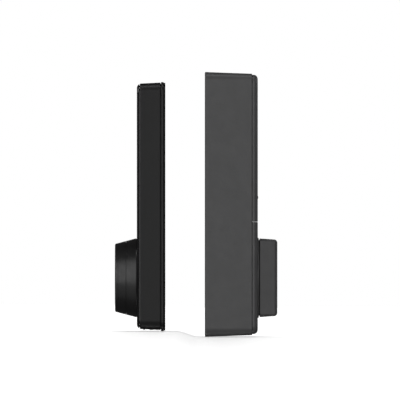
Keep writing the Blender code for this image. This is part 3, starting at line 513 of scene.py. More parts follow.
def out_back_plate():
    x, y, z = spans("exterior_back_plate")
    through = grown(y, PAST)
    edge = 0.0003
    plate_face = y[0] + RIM_REACH
    case_x, case_y, case_z = spans("exterior_housing")
    plate = shell("keypad_back_plate", x, z, OUT_CORNER, [
        (PLATE_LAND, case_y[1] + HAIR), (PLATE_LAND, plate_face),
        (edge, plate_face), (0.0, plate_face + edge), (0.0, y[1] - edge), (edge, y[1]),
    ], BLACK_CASE)
    inset = OUT_WALL + CLEAR
    rim = shell("rim", case_x, case_z, OUT_CORNER, [(inset, y[0]), (inset, plate_face + 0.0005)])
    hollow = shell("rim_hollow", case_x, case_z, OUT_CORNER, [
        (inset + RIM_WALL, y[0] - PAST), (inset + RIM_WALL, plate_face + PAST),
    ])
    join(plate, cut(rim, hollow, *screw_holes("rim_gap", 0.0035, (y[0] - PAST, plate_face + PAST))))
    tools = [hole("plate_window", 0.0092, through), slot_cutter("plate_slot", through)]
    tools += bolt_holes("plate_bolt", BOLT_BORE, through, 40)
    seat = (y[1] - 0.0014, y[1] + PAST)
    for node in OUT_SCREWS:
        tools.append(hole("screw_seat", 0.0031, seat, centre_of(node), 40))
        tools.append(hole("screw_shank", 0.0016, through, centre_of(node), 32))
    finish(cut(plate, *tools), "lock_case", "exterior_metal", "exterior_back_plate")


def out_rounding(first, last, steps):
    """Path points along the rounding that the housing shares with the panel, between two depths."""
    face = spans("exterior_front_panel")[1][0]
    start, end = (math.asin(1 - (y - face) / OUT_ROUND) for y in (first, last))
    points = []
    for step in range(steps + 1):
        angle = start + (end - start) * step / steps
        points.append((
            OUT_DRAFT + OUT_ROUND * (1 - math.cos(angle)),
            face + OUT_ROUND * (1 - math.sin(angle)),
        ))
    return points


def out_case():
    x, y, z = spans("exterior_housing")
    edge = 0.0003
    inner_face = y[0] + 0.0020
    rounding_start = spans("exterior_front_panel")[1][0] + OUT_ROUND
    path = [
        (OUT_WALL + OUT_DRAFT, inner_face),
        (OUT_WALL, y[1]),
        (edge, y[1]),
        (0.0, y[1] - edge),
        *out_rounding(rounding_start, y[0] + CASE_SETBACK, 6),
    ]
    case = shell("keypad_case", x, z, OUT_CORNER, path, BLACK_CASE)
    through = (y[0] - PAST, inner_face + 0.0004)
    key_x = grown((spans("key_1")[0][0], spans("key_3")[0][1]), KEY_MARGIN)
    key_z = grown((spans("key_0")[2][0], spans("key_1")[2][1]), KEY_MARGIN)
    cover_x, cover_y, cover_z = spans("port_cover")
    port_z = (cover_z[0] - PAST, z[0] + OUT_WALL + 0.0008)
    tools = [
        prism("case_key_window", outline(key_x, key_z, 0.0, 0.003, 6), through),
        hole("case_barrel", BARREL_BORE, through),
        hole("case_sensor", SENSOR_BORE, through, centre_of("fingerprint_ring")),
        bar("case_light", LIGHT_X, through, light_z()),
        bar("case_port", grown(cover_x, CLEAR), grown(cover_y, CLEAR), port_z),
    ]
    finish(cut(case, *tools), "lock_case", "exterior_metal", "exterior_housing")


def out_panel():
    x, case_y, z = spans("exterior_housing")
    y = spans("exterior_front_panel")[1]
    rounding = out_rounding(y[1], y[0], 16)
    seam = rounding[0][0] + 0.0008
    panel = shell("keypad_front_panel", x, z, OUT_CORNER, [
        (seam, case_y[0] + CASE_SETBACK), (seam, y[1]), *rounding,
    ], PANEL)
    through = grown(y, PAST)
    flare = 0.00022
    tools = []
    for name in KEYS:
        cap_x, cap_z = cap_spans(name)
        opening = outline(cap_x, cap_z, -CLEAR, KEY_CORNER, 8)
        mouth = outline(cap_x, cap_z, -CLEAR - flare - PAST, KEY_CORNER, 8)
        tools.append(loft(name + "_opening", [
            (opening, through[1]), (opening, y[0] + flare), (mouth, y[0] - PAST),
        ]))
    tools.append(hole("panel_barrel", BARREL_BORE, through, sides=ROUND_SIDES))
    tools.append(hole("panel_sensor", SENSOR_BORE, through, centre_of("fingerprint_ring"), 96))
    tools.append(prism("panel_light", outline(LIGHT_X, light_z(), 0.0, 0.0010, 6), through))
    finish(cut(panel, *tools), "lock_case", "panel_gloss", "exterior_front_panel")


def cap_spans(name):
    """The x and z spans of a key's cap, without the flange behind it."""
    x, _, z = spans(name)
    return grown(x, -KEY_FLANGE), grown(z, -KEY_FLANGE)


def stroke(points, width):
    """The outline of a bent line of this width, as a closed list of points."""
    left, right = [], []
    for index, point in enumerate(points):
        before = points[max(index - 1, 0)]
        after = points[min(index + 1, len(points) - 1)]
        along = Vector((after[0] - before[0], after[1] - before[1])).normalized()
        side = Vector((-along.y, along.x)) * width / 2
        left.append((point[0] + side.x, point[1] + side.y))
        right.append((point[0] - side.x, point[1] - side.y))
    return left + right[::-1]


def numeral(name, text, centre, y):
    """A numeral set flat into a key, its face at y."""
    curve = bpy.data.curves.new(name, "FONT")
    curve.body = text
    curve.size = NUMERAL_SIZE
    curve.extrude = 0.00006
    curve.resolution_u = 5
    bm = bmesh.new()
    bm.from_mesh(curve_mesh(name + "_guide", curve))
    bmesh.ops.remove_doubles(bm, verts=bm.verts, dist=0.000001)
    bm.transform(Matrix.Rotation(math.pi / 2, 4, "X"))
    box = [(min(v.co[axis] for v in bm.verts), max(v.co[axis] for v in bm.verts)) for axis in (0, 2)]
    bm.transform(Matrix.Translation((centre[0] - middle(box[0]), y + 0.00004, centre[1] - middle(box[1]))))
    return new_piece(name, bm, LENS)


def symbol_lines(symbol):
    """The lines of the cross on the clear key, or of the tick on the enter key."""
    reach = 0.0016
    if symbol == "clear":
        return [[(-reach, -reach), (reach, reach)], [(-reach, reach), (reach, -reach)]]
    return [[(-reach * 1.2, 0.1 * reach), (-0.25 * reach, -0.9 * reach), (1.3 * reach, reach)]]


def drawn_mark(name, lines, centre, y):
    """A mark of bent lines set flat into a key, its face just proud of y."""
    strokes = []
    for line in lines:
        points = [(centre[0] + px, centre[1] + pz) for px, pz in stroke(line, STROKE_WIDTH)]
        strokes.append(prism(name + "_line", points, (y - 0.00003, y + 0.00006)))
    piece = strokes[0]
    piece.name = name
    piece.data.materials.append(LENS)
    if len(strokes) > 1:
        join(piece, *strokes[1:])
    return piece


def out_keys():
    """Twelve caps, each dished, with a flange behind it and a mark that moves with it."""
    for name in KEYS:
        cap_x, cap_z = cap_spans(name)
        y = spans(name)[1]
        flange_face = y[1] - 0.0008
        cap = shell(name.replace("key", "keycap"), cap_x, cap_z, KEY_CORNER, [
            (-KEY_FLANGE, y[1]), (-KEY_FLANGE, flange_face), (0.0, flange_face),
            *rounded(0.0, y[0], 0.00045, OUT, 4),
            *[(inset, y[0] + share * KEY_DISH) for inset, share in KEY_DISH_PATH],
        ], KEYCAP, 8)
        finish(cap, name, "key_plastic", name)
        centre = (middle(cap_x), middle(cap_z))
        bottom = y[0] + KEY_DISH
        symbol = name.split("_")[1]
        if symbol.isdigit():
            piece = numeral("mark_" + symbol, symbol, centre, bottom)
        else:
            piece = drawn_mark("mark_" + symbol, symbol_lines(symbol), centre, bottom)
        finish(piece, name, "light_lens")


def out_sensor():
    x, y, _ = spans("fingerprint_ring")
    centre = centre_of("fingerprint_ring")
    outer = half(x)
    inner = spans("fingerprint_sensor")[0][1] + CLEAR
    edge = 0.0004
    ring = revolve("sensor_ring", [
        (outer, y[1]), *turned_edge(outer, y[0], edge, OUT, 4),
        *turned_bore(inner, y[0], edge, OUT, 4), (inner, y[1]),
    ], ZINC, centre, 96, loop=True)
    finish(ring, "lock_case", "steel", "fingerprint_ring")
    x, y, _ = spans("fingerprint_sensor")
    radius = half(x)
    edge = 0.0003
    dish = 0.0003
    lens = revolve("sensor_glass", [
        (radius, y[1]), *turned_edge(radius, y[0], edge, OUT, 3),
        (radius * 0.72, y[0] + 0.45 * dish), (radius * 0.4, y[0] + 0.85 * dish), (radius * 0.1, y[0] + dish),
    ], SENSOR, centre, 96)
    finish(lens, "lock_case", "panel_gloss", "fingerprint_sensor")


def out_light():
    x, y, z = spans("status_light")
    lens = shell("status_lens", x, z, 0.00075, [(0.0, y[1]), *rounded(0.0, y[0], 0.0004, OUT, 4)], LENS, 8)
    finish(lens, "lock_case", "light_lens", "status_light")


def out_collar():
    """The tapered collar: a fixed guard, and the ring that spins in front of it."""
    guard_y = spans("cylinder_guard")[1]
    ring_y = spans("cylinder_spin_ring")[1]
    slope = (COLLAR_FOOT_RADIUS - COLLAR_FACE_RADIUS) / COLLAR_DEPTH

    def radius(at):
        return COLLAR_FACE_RADIUS + slope * (at - ring_y[0])

    def side(at, inset=0.0):
        return (radius(at) - inset, at)

    edge = 0.0004
    seam = 0.0001
    panel_face = spans("exterior_front_panel")[1][0]
    foot = radius(guard_y[1])
    front = ring_y[1] + HAIR
    lip_radius = radius(ring_y[1] + CLEAR) - LIP_INSET
    guard = revolve("collar_guard", [
        (BARREL_BORE, panel_face), (foot - edge, panel_face), (foot - edge, guard_y[1]),
        (foot - 0.3 * edge, guard_y[1] - 0.3 * edge), side(guard_y[1] - edge),
        side(front + seam), side(front, seam), (lip_radius, front),
        (lip_radius, guard_y[0]), (BARREL_BORE, guard_y[0]),
    ], BLACK_COLLAR, sides=COLLAR_SIDES, loop=True)
    finish(guard, "lock_case", "exterior_metal", "cylinder_guard")
    groove = ring_y[0] + 0.0020
    soft = 0.0011
    recess = ring_y[1] - LIP_REACH
    ring = revolve("collar_spin_ring", [
        (BARREL_BORE, recess), (lip_radius + CLEAR, recess), (lip_radius + CLEAR, ring_y[1]),
        side(ring_y[1], seam), side(ring_y[1] - seam),
        side(groove + seam), side(groove, seam), side(groove - seam),
        *turned_edge(radius(ring_y[0] + soft), ring_y[0], soft, OUT, 6),
        *turned_bore(BARREL_BORE, ring_y[0], 0.0005, OUT, 4),
    ], BLACK_COLLAR, sides=COLLAR_SIDES, loop=True)
    finish(ring, "spin_ring", "exterior_metal", "cylinder_spin_ring")


def out_barrel():
    x, y, _ = spans("cylinder_barrel")
    radius = x[1]
    bore = 0.0065
    groove = 0.0003
    barrel = revolve("key_barrel", [
        (bore, y[1]), (radius, y[1]), *turned_edge(radius, y[0], 0.0006, OUT, 4),
        (radius - 0.0026, y[0]), (radius - 0.0029, y[0] + groove), (bore + 0.0026, y[0] + groove),
        (bore + 0.0023, y[0]), *turned_bore(bore, y[0], 0.0003, OUT, 3),
    ], BLACK_COLLAR, loop=True)
    threads = bolt_holes("thread", 0.0019, (y[1] - 0.009, y[1] + PAST), 32)
    finish(cut(barrel, *threads), "lock_case", "exterior_metal", "cylinder_barrel")


def out_plug():
    x, y, _ = spans("key_plug")
    radius = x[1]
    spigot = 0.0025
    shoulder = y[1] - 0.0010
    plug = revolve("key_plug_face", [
        (spigot, y[1]), (spigot, shoulder), (radius, shoulder),
        *turned_edge(radius, y[0], 0.0004, OUT, 3),
    ], STEEL, sides=96)
    profile = [
        (-0.0010, -0.0046), (0.0010, -0.0046), (0.0010, -0.0030), (0.0004, -0.0024), (0.0004, -0.0010),
        (0.0010, -0.0004), (0.0010, 0.0034), (0.0004, 0.0040), (-0.0004, 0.0040), (-0.0010, 0.0034),
        (-0.0010, 0.0012), (-0.0017, 0.0006), (-0.0017, -0.0012), (-0.0010, -0.0018),
    ]
    keyway = prism("keyway_profile", profile, (y[0] - PAST, KEYWAY_END))
    mouth = loft("keyway_mouth", [
        ([(px * 1.5, pz * 1.08) for px, pz in profile], y[0] - 0.0001),
        (profile, y[0] + 0.0006),
    ])
    finish(cut(plug, keyway, mouth), "plug_body", "steel", "key_plug")


def out_port_cover():
    x, y, z = spans("port_cover")
    rib_height = 0.0005
    sheet_z = (z[0] + rib_height, z[1])
    cover = soft_block("port_flap_cover", (x, y, sheet_z), 0.0002, RUBBER)
    ribs = []
    for centre, half_width in PORT_RIBS:
        rib_z = (z[0], sheet_z[0] + 0.0006)
        ribs.append(soft_block("rib", (grown(x, -0.001), around(centre, half_width), rib_z), 0.00018))
    finish(join(cover, *ribs), "port_flap", "soft_rubber", "port_cover")


def screw(name, node, head_radius, head_depth, slot_half, cross):
    """A pan-head screw: domed head, plain shank, and a slotted or crossed recess."""
    y = spans(node)[1]
    centre = centre_of(node)
    face = y[1]
    head_back = face - head_depth
    dome = 0.6 * head_depth
    shank = 0.0015 if cross else 0.0013
    piece = revolve(name, [
        (shank * 0.7, y[0]), (shank, y[0] + 0.0006), (shank, head_back), (head_radius, head_back),
        (head_radius, face - dome), *turned_edge(head_radius, face, dome, IN, 4),
    ], ZINC, centre, 48)
    recess_y = (face - 0.55 * head_depth, face + PAST)
    reaches = [(slot_half, 0.00035), (0.00035, slot_half)] if cross else [(slot_half, 0.0004)]
    tools = []
    for reach_x, reach_z in reaches:
        recess_x, recess_z = around(centre[0], reach_x), around(centre[1], reach_z)
        tools.append(bar(name + "_recess", recess_x, recess_y, recess_z))
    finish(cut(piece, *tools), "lock_case", "steel", node)


# ---------------------------------------- indoor unit

IN_CORNER = 0.0060
IN_WALL = 0.0023
IN_DRAFT = 0.0011
COVER_INSET = 0.0007
COVER_ROUND = 0.0027
COVER_WALL = 0.0018
IN_SCREWS = ("housing_screw_left", "housing_screw_right")
SHAFT_BORE = 0.0053  # radius of the bores round the thumbturn's shaft
PADDLE_CORNER = 0.0022
TRAY_WALL = 0.0014
CELLS = 4
CELL_TIP = 0.0012  # height of a cell's positive pip
LEVEL_MATCH = 0.000001  # an edge within this of a height lies at it
COVER_CORE_Y = 0.0455  # a depth within the covers' rounded edge, from which outward is judged
COVER_CORE_WEIGHT = 60  # how much more depth counts than distance along X


def in_mounting_plate():
    x, y, z = spans("mounting_plate")
    plate_face = y[0] + 0.0020
    edge = 0.0002
    plate = shell("indoor_mounting_plate", x, z, IN_CORNER - IN_WALL, [
        (edge, y[0]), (0.0, y[0] + edge), (0.0, plate_face - edge), (edge, plate_face),
    ], ZINC)
    post = [(0.0035, plate_face - 0.0005), (0.0035, y[1])]
    for node in IN_SCREWS:
        join(plate, revolve("post", post, centre=centre_of(node), sides=40))
    through = grown(y, PAST)
    tools = [hole("post_thread", 0.0018, through, centre_of(node), 32) for node in IN_SCREWS]
    tools += bolt_holes("mount_bolt", BOLT_BORE, through, 40)
    tools += [hole("tail_window", 0.0090, through), slot_cutter("mount_slot", through)]
    finish(cut(plate, *tools), "lock_case", "steel", "mounting_plate")


def in_case():
    x, y, z = spans("interior_housing")
    inner_face = y[1] - 0.0020
    edge = 0.00035
    case = shell("indoor_case", x, z, IN_CORNER, [
        (IN_WALL + IN_DRAFT, inner_face), (IN_WALL, y[0]),
        (edge, y[0]), (0.0, y[0] + edge),
        *rounded(IN_DRAFT, y[1], 0.0005, IN, 4),
    ], GREY_CASE)
    through = (inner_face - 0.0004, y[1] + PAST)
    tray_x, _, tray_z = spans("battery_tray")
    latch_level = centre_of("cover_latch")[1]
    tools = [
        prism("bay_window", outline(grown(tray_x, CLEAR), grown(tray_z, CLEAR), 0.0, 0.0010, 4), through),
        bar("latch_notch", (-0.0076, 0.0076), through, (latch_level - 0.0026, tray_z[0])),
        hole("bush_bore", 0.0078, through),
        hole("button_hole", 0.0022, through, centre_of("settings_button"), 32),
    ]
    tools += [hole("case_screw", 0.0018, through, centre_of(node), 32) for node in IN_SCREWS]
    finish(cut(case, *tools), "lock_case", "interior_metal", "interior_housing")


def soften_cut(piece, height, offset):
    """Round the outer edge that a level cut left at a height."""
    bm = bmesh.new()
    bm.from_mesh(piece.data)
    bmesh.ops.dissolve_limit(bm, angle_limit=math.radians(0.5), verts=bm.verts, edges=bm.edges)
    rim = []
    for edge in bm.edges:
        level = all(abs(vert.co.z - height) < LEVEL_MATCH for vert in edge.verts)
        if level and len(edge.link_faces) == 2 and edge.calc_face_angle(0.0) > math.radians(60):
            corner = edge.verts[0].co
            outward = Vector((corner.x, COVER_CORE_WEIGHT * (corner.y - COVER_CORE_Y), 0))
            if any(abs(face.normal.z) < 0.5 and face.normal.dot(outward) > 0 for face in edge.link_faces):
                rim.append(edge)
    bmesh.ops.bevel(bm, geom=rim, offset=offset, segments=2, profile=0.5, affect="EDGES")
    bm.to_mesh(piece.data)
    bm.free()
    return piece


def front_cover(name, beyond_cut, cut_level):
    """The rounded front of the indoor unit, with what lies past a level cut away."""
    x, y, lower_z = spans("lower_cover")
    z = (lower_z[0], spans("battery_cover")[2][1])
    edge = 0.0001
    hollow_soft = 0.0010
    back = spans("interior_housing")[1][1] + HAIR
    hollow = rounded(COVER_WALL, y[1] - COVER_WALL, hollow_soft, IN, 4)
    cover = shell(name, x, z, IN_CORNER - COVER_INSET, [
        *reversed(hollow), (COVER_WALL, back), (edge, back), (0.0, back + edge),
        *rounded(0.0, y[1], COVER_ROUND, IN, 14),
    ], GREY_COVER, 14)
    far = 0.2
    cut_z = (cut_level, far) if beyond_cut == "above" else (-far, cut_level)
    return cut(cover, bar(name + "_waste", (-far, far), grown(y, PAST), cut_z))


def in_covers():
    seam_low = spans("lower_cover")[2][1]
    seam_high = spans("battery_cover")[2][0]
    through = grown(spans("lower_cover")[1], PAST)
    softened = 0.00025
    lower = front_cover("indoor_lower_cover", "above", seam_low)
    cut(lower, hole("rose_bore", 0.0267, through, sides=ROUND_SIDES))
    soften_cut(lower, seam_low, softened)
    finish(lower, "lock_case", "interior_plastic", "lower_cover")
    upper = front_cover("battery_bay_cover", "below", seam_high)
    latch_z = around(centre_of("cover_latch")[1], 0.00125)
    cut(upper, prism("latch_window", outline((-0.0063, 0.0063), latch_z, 0.0, 0.0005, 4), through))
    soften_cut(upper, seam_high, softened)
    finish(upper, "battery_lid", "interior_plastic", "battery_cover")


def in_latch():
    x, y, z = spans("cover_latch")
    latch = shell("latch_slider", (-0.0060, 0.0060), around(middle(z), 0.00095), 0.0005, [
        (0.0, y[0] + 0.0006), *rounded(0.0, y[1], 0.00045, IN, 4),
    ], BLACK_PLASTIC, 5)
    join(latch, bar("latch_foot", x, (y[0], y[0] + 0.0011), z))
    finish(latch, "latch_bar", "black_plastic", "cover_latch")


def in_rose():
    x, y, _ = spans("thumbturn_rose")
    radius = x[1]
    edge = 0.0002
    rose = revolve("turn_rose", [
        (SHAFT_BORE, y[0]), (radius - edge, y[0]), (radius, y[0] + edge),
        *turned_edge(radius, y[1], 0.0006, IN, 5), (SHAFT_BORE, y[1]),
    ], GREY_TURN_LIT, sides=COLLAR_SIDES, loop=True)
    finish(rose, "lock_case", "interior_metal", "thumbturn_rose")


def in_thumbturn():
    """The bar that is turned by hand with its shaft, and a pad of dark rubber between it and the rose; the
    pad fills the gap there, and its dark colour is painted shade for that gap.
    """
    rose_face = spans("thumbturn_rose")[1][1]
    x, y, z = spans("thumbturn")
    base = rose_face + 0.0004
    draft = 0.0006
    soft = 0.0022
    paddle = shell("turn_paddle", x, z, PADDLE_CORNER, [
        (0.0004, base), (0.0001, base + 0.0002), (0.0, base + 0.0006),
        *rounded(draft, y[1], soft, IN, 10),
    ], GREY_TURN_LIT, 14)
    join(paddle, revolve("turn_shaft", [(0.0050, y[0]), (0.0050, base + 0.0010)], sides=64))
    cut(paddle, bar("tail_slot", (-0.0013, 0.0013), (y[0] - PAST, 0.0280), (-0.0042, 0.0042)))
    finish(paddle, "turn_body", "interior_metal", "thumbturn")
    # painted shade: the pad is dark rubber so that the gap under the paddle reads as the shadow in it
    shade_pad_inset = 0.0010
    shade_pad_path = [(shade_pad_inset, rose_face + HAIR), (shade_pad_inset, base + 0.0002)]
    shade_pad = shell("turn_shade_pad", x, z, PADDLE_CORNER, shade_pad_path, RUBBER)
    cut(shade_pad, hole("shade_pad_bore", 0.0052, (rose_face - PAST, base + PAST)))
    finish(shade_pad, "turn_body", "soft_rubber")


def in_bush():
    y = spans("shaft_bush")[1]
    neck = 0.0075
    rim = 0.0092
    rim_face = 0.0412
    bush = revolve("turn_bush", [
        (SHAFT_BORE, y[1]), (neck, y[1]), (neck, rim_face), (rim, rim_face), (rim, y[0]), (SHAFT_BORE, y[0]),
    ], NYLON, sides=64, loop=True)
    finish(bush, "lock_case", "nylon", "shaft_bush")


def upright_rod(name, radius, centre, z):
    """A round cutter along Z."""
    sides = 48
    bm = bmesh.new()
    rows = [[bm.verts.new((px, py, level)) for px, py in circle(radius, centre, sides)] for level in z]
    for side in range(sides):
        after = (side + 1) % sides
        bm.faces.new((rows[0][side], rows[0][after], rows[1][after], rows[1][side]))
    bm.faces.new(rows[0])
    bm.faces.new(rows[1])
    return new_piece(name, bm)


def in_battery_tray():
    """An open tray, with two cradles that the cells lie in."""
    x, y, z = spans("battery_tray")
    soft = 0.0003
    floor = y[0] + TRAY_WALL
    tray = shell("battery_bay_tray", x, z, 0.0010, [
        (TRAY_WALL + 0.0004, floor), (TRAY_WALL, floor + 0.0004),
        (TRAY_WALL, y[1] - 0.0002), (TRAY_WALL - 0.0002, y[1]),
        (soft, y[1]), (0.0, y[1] - soft), (0.0, y[0]),
    ], BLACK_PLASTIC, 4)
    cell_x, cell_y, cell_z = spans("battery_1")
    sunk = 0.0004
    cradle_x = grown(x, sunk - TRAY_WALL)
    cradle_y = (floor - sunk, middle(cell_y) - 0.0030)
    cradles = []
    for level in around(middle(cell_z), 0.016):
        cradle = bar("cradle", cradle_x, cradle_y, around(level, 0.0009))
        for number in range(CELLS):
            x, y, _ = spans(f"battery_{number + 1}")
            room = (middle(x), middle(y))
            cut(cradle, upright_rod("cell_room", half(cell_x) + CLEAR, room, around(level, 0.01)))
        cradles.append(cradle)
    finish(join(tray, *cradles), "lock_case", "black_plastic", "battery_tray")


def cell_profile(radius, end):
    """Path points of a cell from its flat end to its pip, its body running from -end to end."""
    soft = 0.0004
    crimp = radius - 0.0012
    pip = 0.0027
    return [
        (0.0030, 0.0002 - end), (crimp - 0.0002, 0.0002 - end), (crimp, -end),
        (radius - soft, -end), (radius, soft - end), (radius, end - soft),
        (radius - soft, end), (crimp, end), (crimp - 0.0002, end - 0.0003),
        (0.0030, end - 0.0003), (pip, end), (pip, end + CELL_TIP - 0.0003), (pip - 0.0003, end + CELL_TIP),
    ]


def in_cells():
    """Four cells, their pips up and down by turns."""
    for number in range(CELLS):
        node = f"battery_{number + 1}"
        x, y, z = spans(node)
        up = number % 2 == 0
        radius = half(x)
        end = half(z) - CELL_TIP / 2
        cell = revolve(f"cell_{number + 1}", cell_profile(radius, end), SLEEVE, sides=64)
        cell.data.materials.append(ZINC)
        for face in cell.data.polygons:
            if face.center.xz.length < radius - 0.0011:
                face.material_index = 1
        cell.rotation_euler = (math.pi / 2 if up else -math.pi / 2, 0.0, 0.0)
        cell.location = (middle(x), middle(y), z[0] + end if up else z[1] - end)
        finish(cell, "lock_case", "battery_sleeve", node)


def in_springs():
    """A coil spring behind the flat end of each cell."""
    lower = spans("battery_contact_lower")[2][1]
    upper = spans("battery_contact_upper")[2][0]
    turns = 3
    steps = 20
    wire = 0.00025
    for number in range(CELLS):
        x, y, z = spans(f"battery_{number + 1}")
        up = number % 2 == 0
        start, end = (lower + wire, z[0] - wire) if up else (upper - wire, z[1] + wire)
        curve = bpy.data.curves.new("spring", "CURVE")
        curve.dimensions = "3D"
        curve.bevel_depth = wire
        curve.bevel_resolution = 2
        curve.use_fill_caps = True
        line = curve.splines.new("POLY")
        line.points.add(turns * steps)
        for index, point in enumerate(line.points):
            share = index / (turns * steps)
            angle = 2 * math.pi * turns * share
            radius = 0.0042 - 0.0018 * share
            place = (middle(x) + radius * math.cos(angle), middle(y) + radius * math.sin(angle))
            point.co = (*place, start + (end - start) * share, 1.0)
        mesh = curve_mesh("spring_guide", curve)
        piece = bpy.data.objects.new(f"cell_spring_{number + 1}", mesh)
        bpy.context.scene.collection.objects.link(piece)
        mesh.materials.clear()
        mesh.materials.append(ZINC)
        finish(piece, "lock_case", "steel")


def keep(node, material):
    """A CAD node that stays as it is, with a finished material."""
    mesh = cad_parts[node].data
    mesh.materials.clear()
    mesh.materials.append(material)


KEPT = {
    "keypad_membrane": RUBBER, "keypad_circuit_board": BOARD, "power_socket": ZINC, "plug_clip": ZINC,
    "tail_driver": BRASS, "battery_contact_lower": ZINC, "battery_contact_upper": ZINC,
    "main_circuit_board": BOARD, "cable_socket": NYLON, "buzzer": BLACK_PLASTIC, "settings_button": RUBBER,
    "motor": ZINC, "motor_pinion": BRASS, "idler_gear": NYLON, "idler_axle": STEEL,
    "gearbox_plate": BLACK_PLASTIC, "spindle_gear": NYLON, "thumbturn_clip": ZINC,
}

out_gasket()
out_back_plate()
out_case()
out_panel()
out_keys()
out_sensor()
out_light()
out_collar()
out_barrel()
out_plug()
out_port_cover()
for screw_node in OUT_SCREWS:
    screw(screw_node.replace("back_plate", "keypad"), screw_node, 0.0028, 0.0011, 0.0020, False)
in_mounting_plate()
in_case()
in_covers()
in_latch()
in_rose()
in_thumbturn()
in_bush()
in_battery_tray()
in_cells()
in_springs()
for screw_node in IN_SCREWS:
    screw(screw_node.replace("housing", "indoor"), screw_node, 0.0030, 0.0011, 0.0018, True)
for kept_node, kept_material in KEPT.items():
    keep(kept_node, kept_material)


# ---------------------------------------- floor, light and camera

FLOOR_GAP = 0.0003  # from the lowest edge of each unit down to the floor
FLOOR_FLAT = 0.036  # from the middle of the lock out to where the floor starts to fall, along X
FLOOR_BLEND = 0.006  # width of the bend between the flat and the slope
FLOOR_FALL = 11.0  # degrees by which the floor falls away on both sides of the lock
FLOOR_SLOPE_END = 0.35
FLOOR_STEP = (-0.006, 0.009)  # where the floor's level eases from one unit's to the other's, along Y
FLOOR_REACH = 9.0
LIGHT_TARGET = Vector((0.0, 0.01, 0.05))
LIGHTS = (  # name, energy, (azimuth, elevation), distance, width and height
    ("key_softbox", 11.8, (60, 18), 1.8, (0.6, 2.4)),
    ("side_fill", 6.4, (98, 6), 1.8, (0.6, 1.6)),
    ("low_fill", 2.0, (60, -40), 1.8, (0.6, 1.6)),
    ("top_strip", 3.0, (90, 80), 1.6, (0.3, 0.2)),
    ("under_strip", 1.4, (90, -80), 1.6, (0.3, 0.2)),
    ("front_fill", 5.0, (-5, 18), 1.8, (0.8, 0.8)),
    ("back_fill", 4.0, (185, 18), 1.8, (0.8, 0.8)),
    ("far_fill", 2.0, (262, 8), 1.8, (0.8, 0.3)),
)
FLOOR_SUNS = (  # name, strength, (azimuth, elevation), angle in degrees
    ("floor_sky", 0.5, (90, 80), 150),
    ("floor_shade", 1.75, (270, 77), 60),
)


def smooth_step(share):
    share = min(max(share, 0.0), 1.0)
    return share * share * (3 - 2 * share)


def make_floor():
    """One white floor: level under each unit, and falling away on both sides of them along X."""
    out_level = spans("exterior_back_plate")[2][0] - FLOOR_GAP
    in_level = spans("interior_housing")[2][0] - FLOOR_GAP
    fall = math.tan(math.radians(FLOOR_FALL))

    def drop(distance):
        past = min(max(distance - FLOOR_FLAT, 0.0), FLOOR_SLOPE_END)
        if past > FLOOR_BLEND:
            return fall * (past - FLOOR_BLEND / 2)
        return fall * past * past / (2 * FLOOR_BLEND)

    def lines(near, fine):
        close = [-near + 2 * near * index / fine for index in range(fine + 1)]
        return [-FLOOR_REACH, -1.0, *close, 1.0, FLOOR_REACH]

    bm = bmesh.new()
    rows = []
    for y in lines(0.12, 96):
        share = smooth_step((y - FLOOR_STEP[0]) / (FLOOR_STEP[1] - FLOOR_STEP[0]))
        level = out_level + (in_level - out_level) * share
        rows.append([bm.verts.new((x, y, level - drop(abs(x)))) for x in lines(0.45, 180)])
    for first, second in zip(rows, rows[1:]):
        for index in range(len(first) - 1):
            bm.faces.new((first[index], first[index + 1], second[index + 1], second[index]))
    floor = new_piece("studio_floor", bm)
    floor.data.shade_smooth()
    material, _, _, shader = start_material("white_floor")
    shader.inputs["Base Color"].default_value = (0.90, 0.90, 0.90, 1.0)
    shader.inputs["Roughness"].default_value = 0.9
    shader.inputs["Specular IOR Level"].default_value = 0.0
    shader.inputs["Emission Color"].default_value = (1.0, 1.0, 1.0, 1.0)
    shader.inputs["Emission Strength"].default_value = 0.52
    floor.data.materials.append(material)
    floor.visible_glossy = False
    floor.visible_diffuse = False
    floor.visible_shadow = False
    return floor


def aim(thing, direction, distance, target):
    """Place a light or camera out along (azimuth, elevation) in degrees, looking at the target."""
    azimuth, elevation = (math.radians(part) for part in direction)
    way = Vector((
        math.sin(azimuth) * math.cos(elevation),
        -math.cos(azimuth) * math.cos(elevation),
        math.sin(elevation),
    ))
    thing.location = target + way * distance
    thing.rotation_euler = (-way).to_track_quat("-Z", "Y").to_euler()


def add_light(name, kind, energy, direction, distance, group):
    light = bpy.data.lights.new(name, kind)
    light.energy = energy
    lamp = bpy.data.objects.new(name, light)
    bpy.context.scene.collection.objects.link(lamp)
    aim(lamp, direction, distance, LIGHT_TARGET)
    lamp.visible_camera = False
    lamp.light_linking.receiver_collection = group
    return light


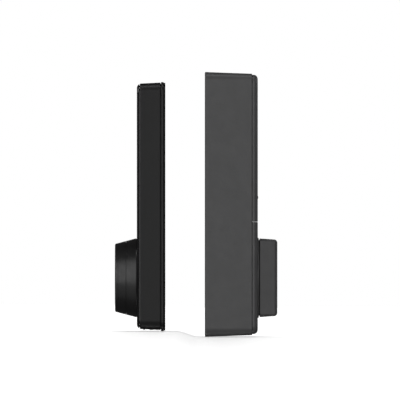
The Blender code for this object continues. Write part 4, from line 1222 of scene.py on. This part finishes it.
def light_studio(floor):
    """Suns that light only the floor, and soft boxes that light everything else."""
    floor_only = bpy.data.collections.new("floor_only")
    floor_only.objects.link(floor)
    all_but_floor = bpy.data.collections.new("all_but_floor")
    all_but_floor.objects.link(floor)
    all_but_floor.collection_objects[0].light_linking.link_state = "EXCLUDE"
    for name, energy, direction, angle in FLOOR_SUNS:
        sun = add_light(name, "SUN", energy, direction, 3.0, floor_only)
        sun.angle = math.radians(angle)
    for name, energy, direction, distance, size in LIGHTS:
        box = add_light(name, "AREA", energy, direction, distance, all_but_floor)
        box.shape = "RECTANGLE"
        box.size, box.size_y = size


def make_world():
    """White to the camera, and a dim even room to everything else."""
    world = bpy.data.worlds.new("studio")
    bpy.context.scene.world = world
    world.use_nodes = True
    nodes = world.node_tree.nodes
    links = world.node_tree.links
    nodes.clear()
    output = nodes.new("ShaderNodeOutputWorld")
    blend = nodes.new("ShaderNodeMixShader")
    path = nodes.new("ShaderNodeLightPath")
    room = nodes.new("ShaderNodeBackground")
    white = nodes.new("ShaderNodeBackground")
    for background, strength in ((room, 0.05), (white, 1.0)):
        background.inputs["Color"].default_value = (1.0, 1.0, 1.0, 1.0)
        background.inputs["Strength"].default_value = strength
    links.new(path.outputs["Is Camera Ray"], blend.inputs["Fac"])
    links.new(room.outputs["Background"], blend.inputs[1])
    links.new(white.outputs["Background"], blend.inputs[2])
    links.new(blend.outputs["Shader"], output.inputs["Surface"])


def make_camera():
    """A long lens square to the lock's side, a hair above it."""
    distance = 8.0
    near_side = 0.010
    view_height = 0.260
    camera = bpy.data.cameras.new("camera")
    camera.sensor_width = 36.0
    camera.lens = camera.sensor_width * (distance - near_side) / view_height
    camera.clip_end = 30.0
    holder = bpy.data.objects.new("camera", camera)
    bpy.context.scene.collection.objects.link(holder)
    aim(holder, (89.9, 0.05), distance, Vector((0.0, 0.0097, 0.0506)))
    bpy.context.scene.camera = holder


light_studio(make_floor())
make_world()
make_camera()
bpy.context.scene.view_settings.view_transform = "Standard"
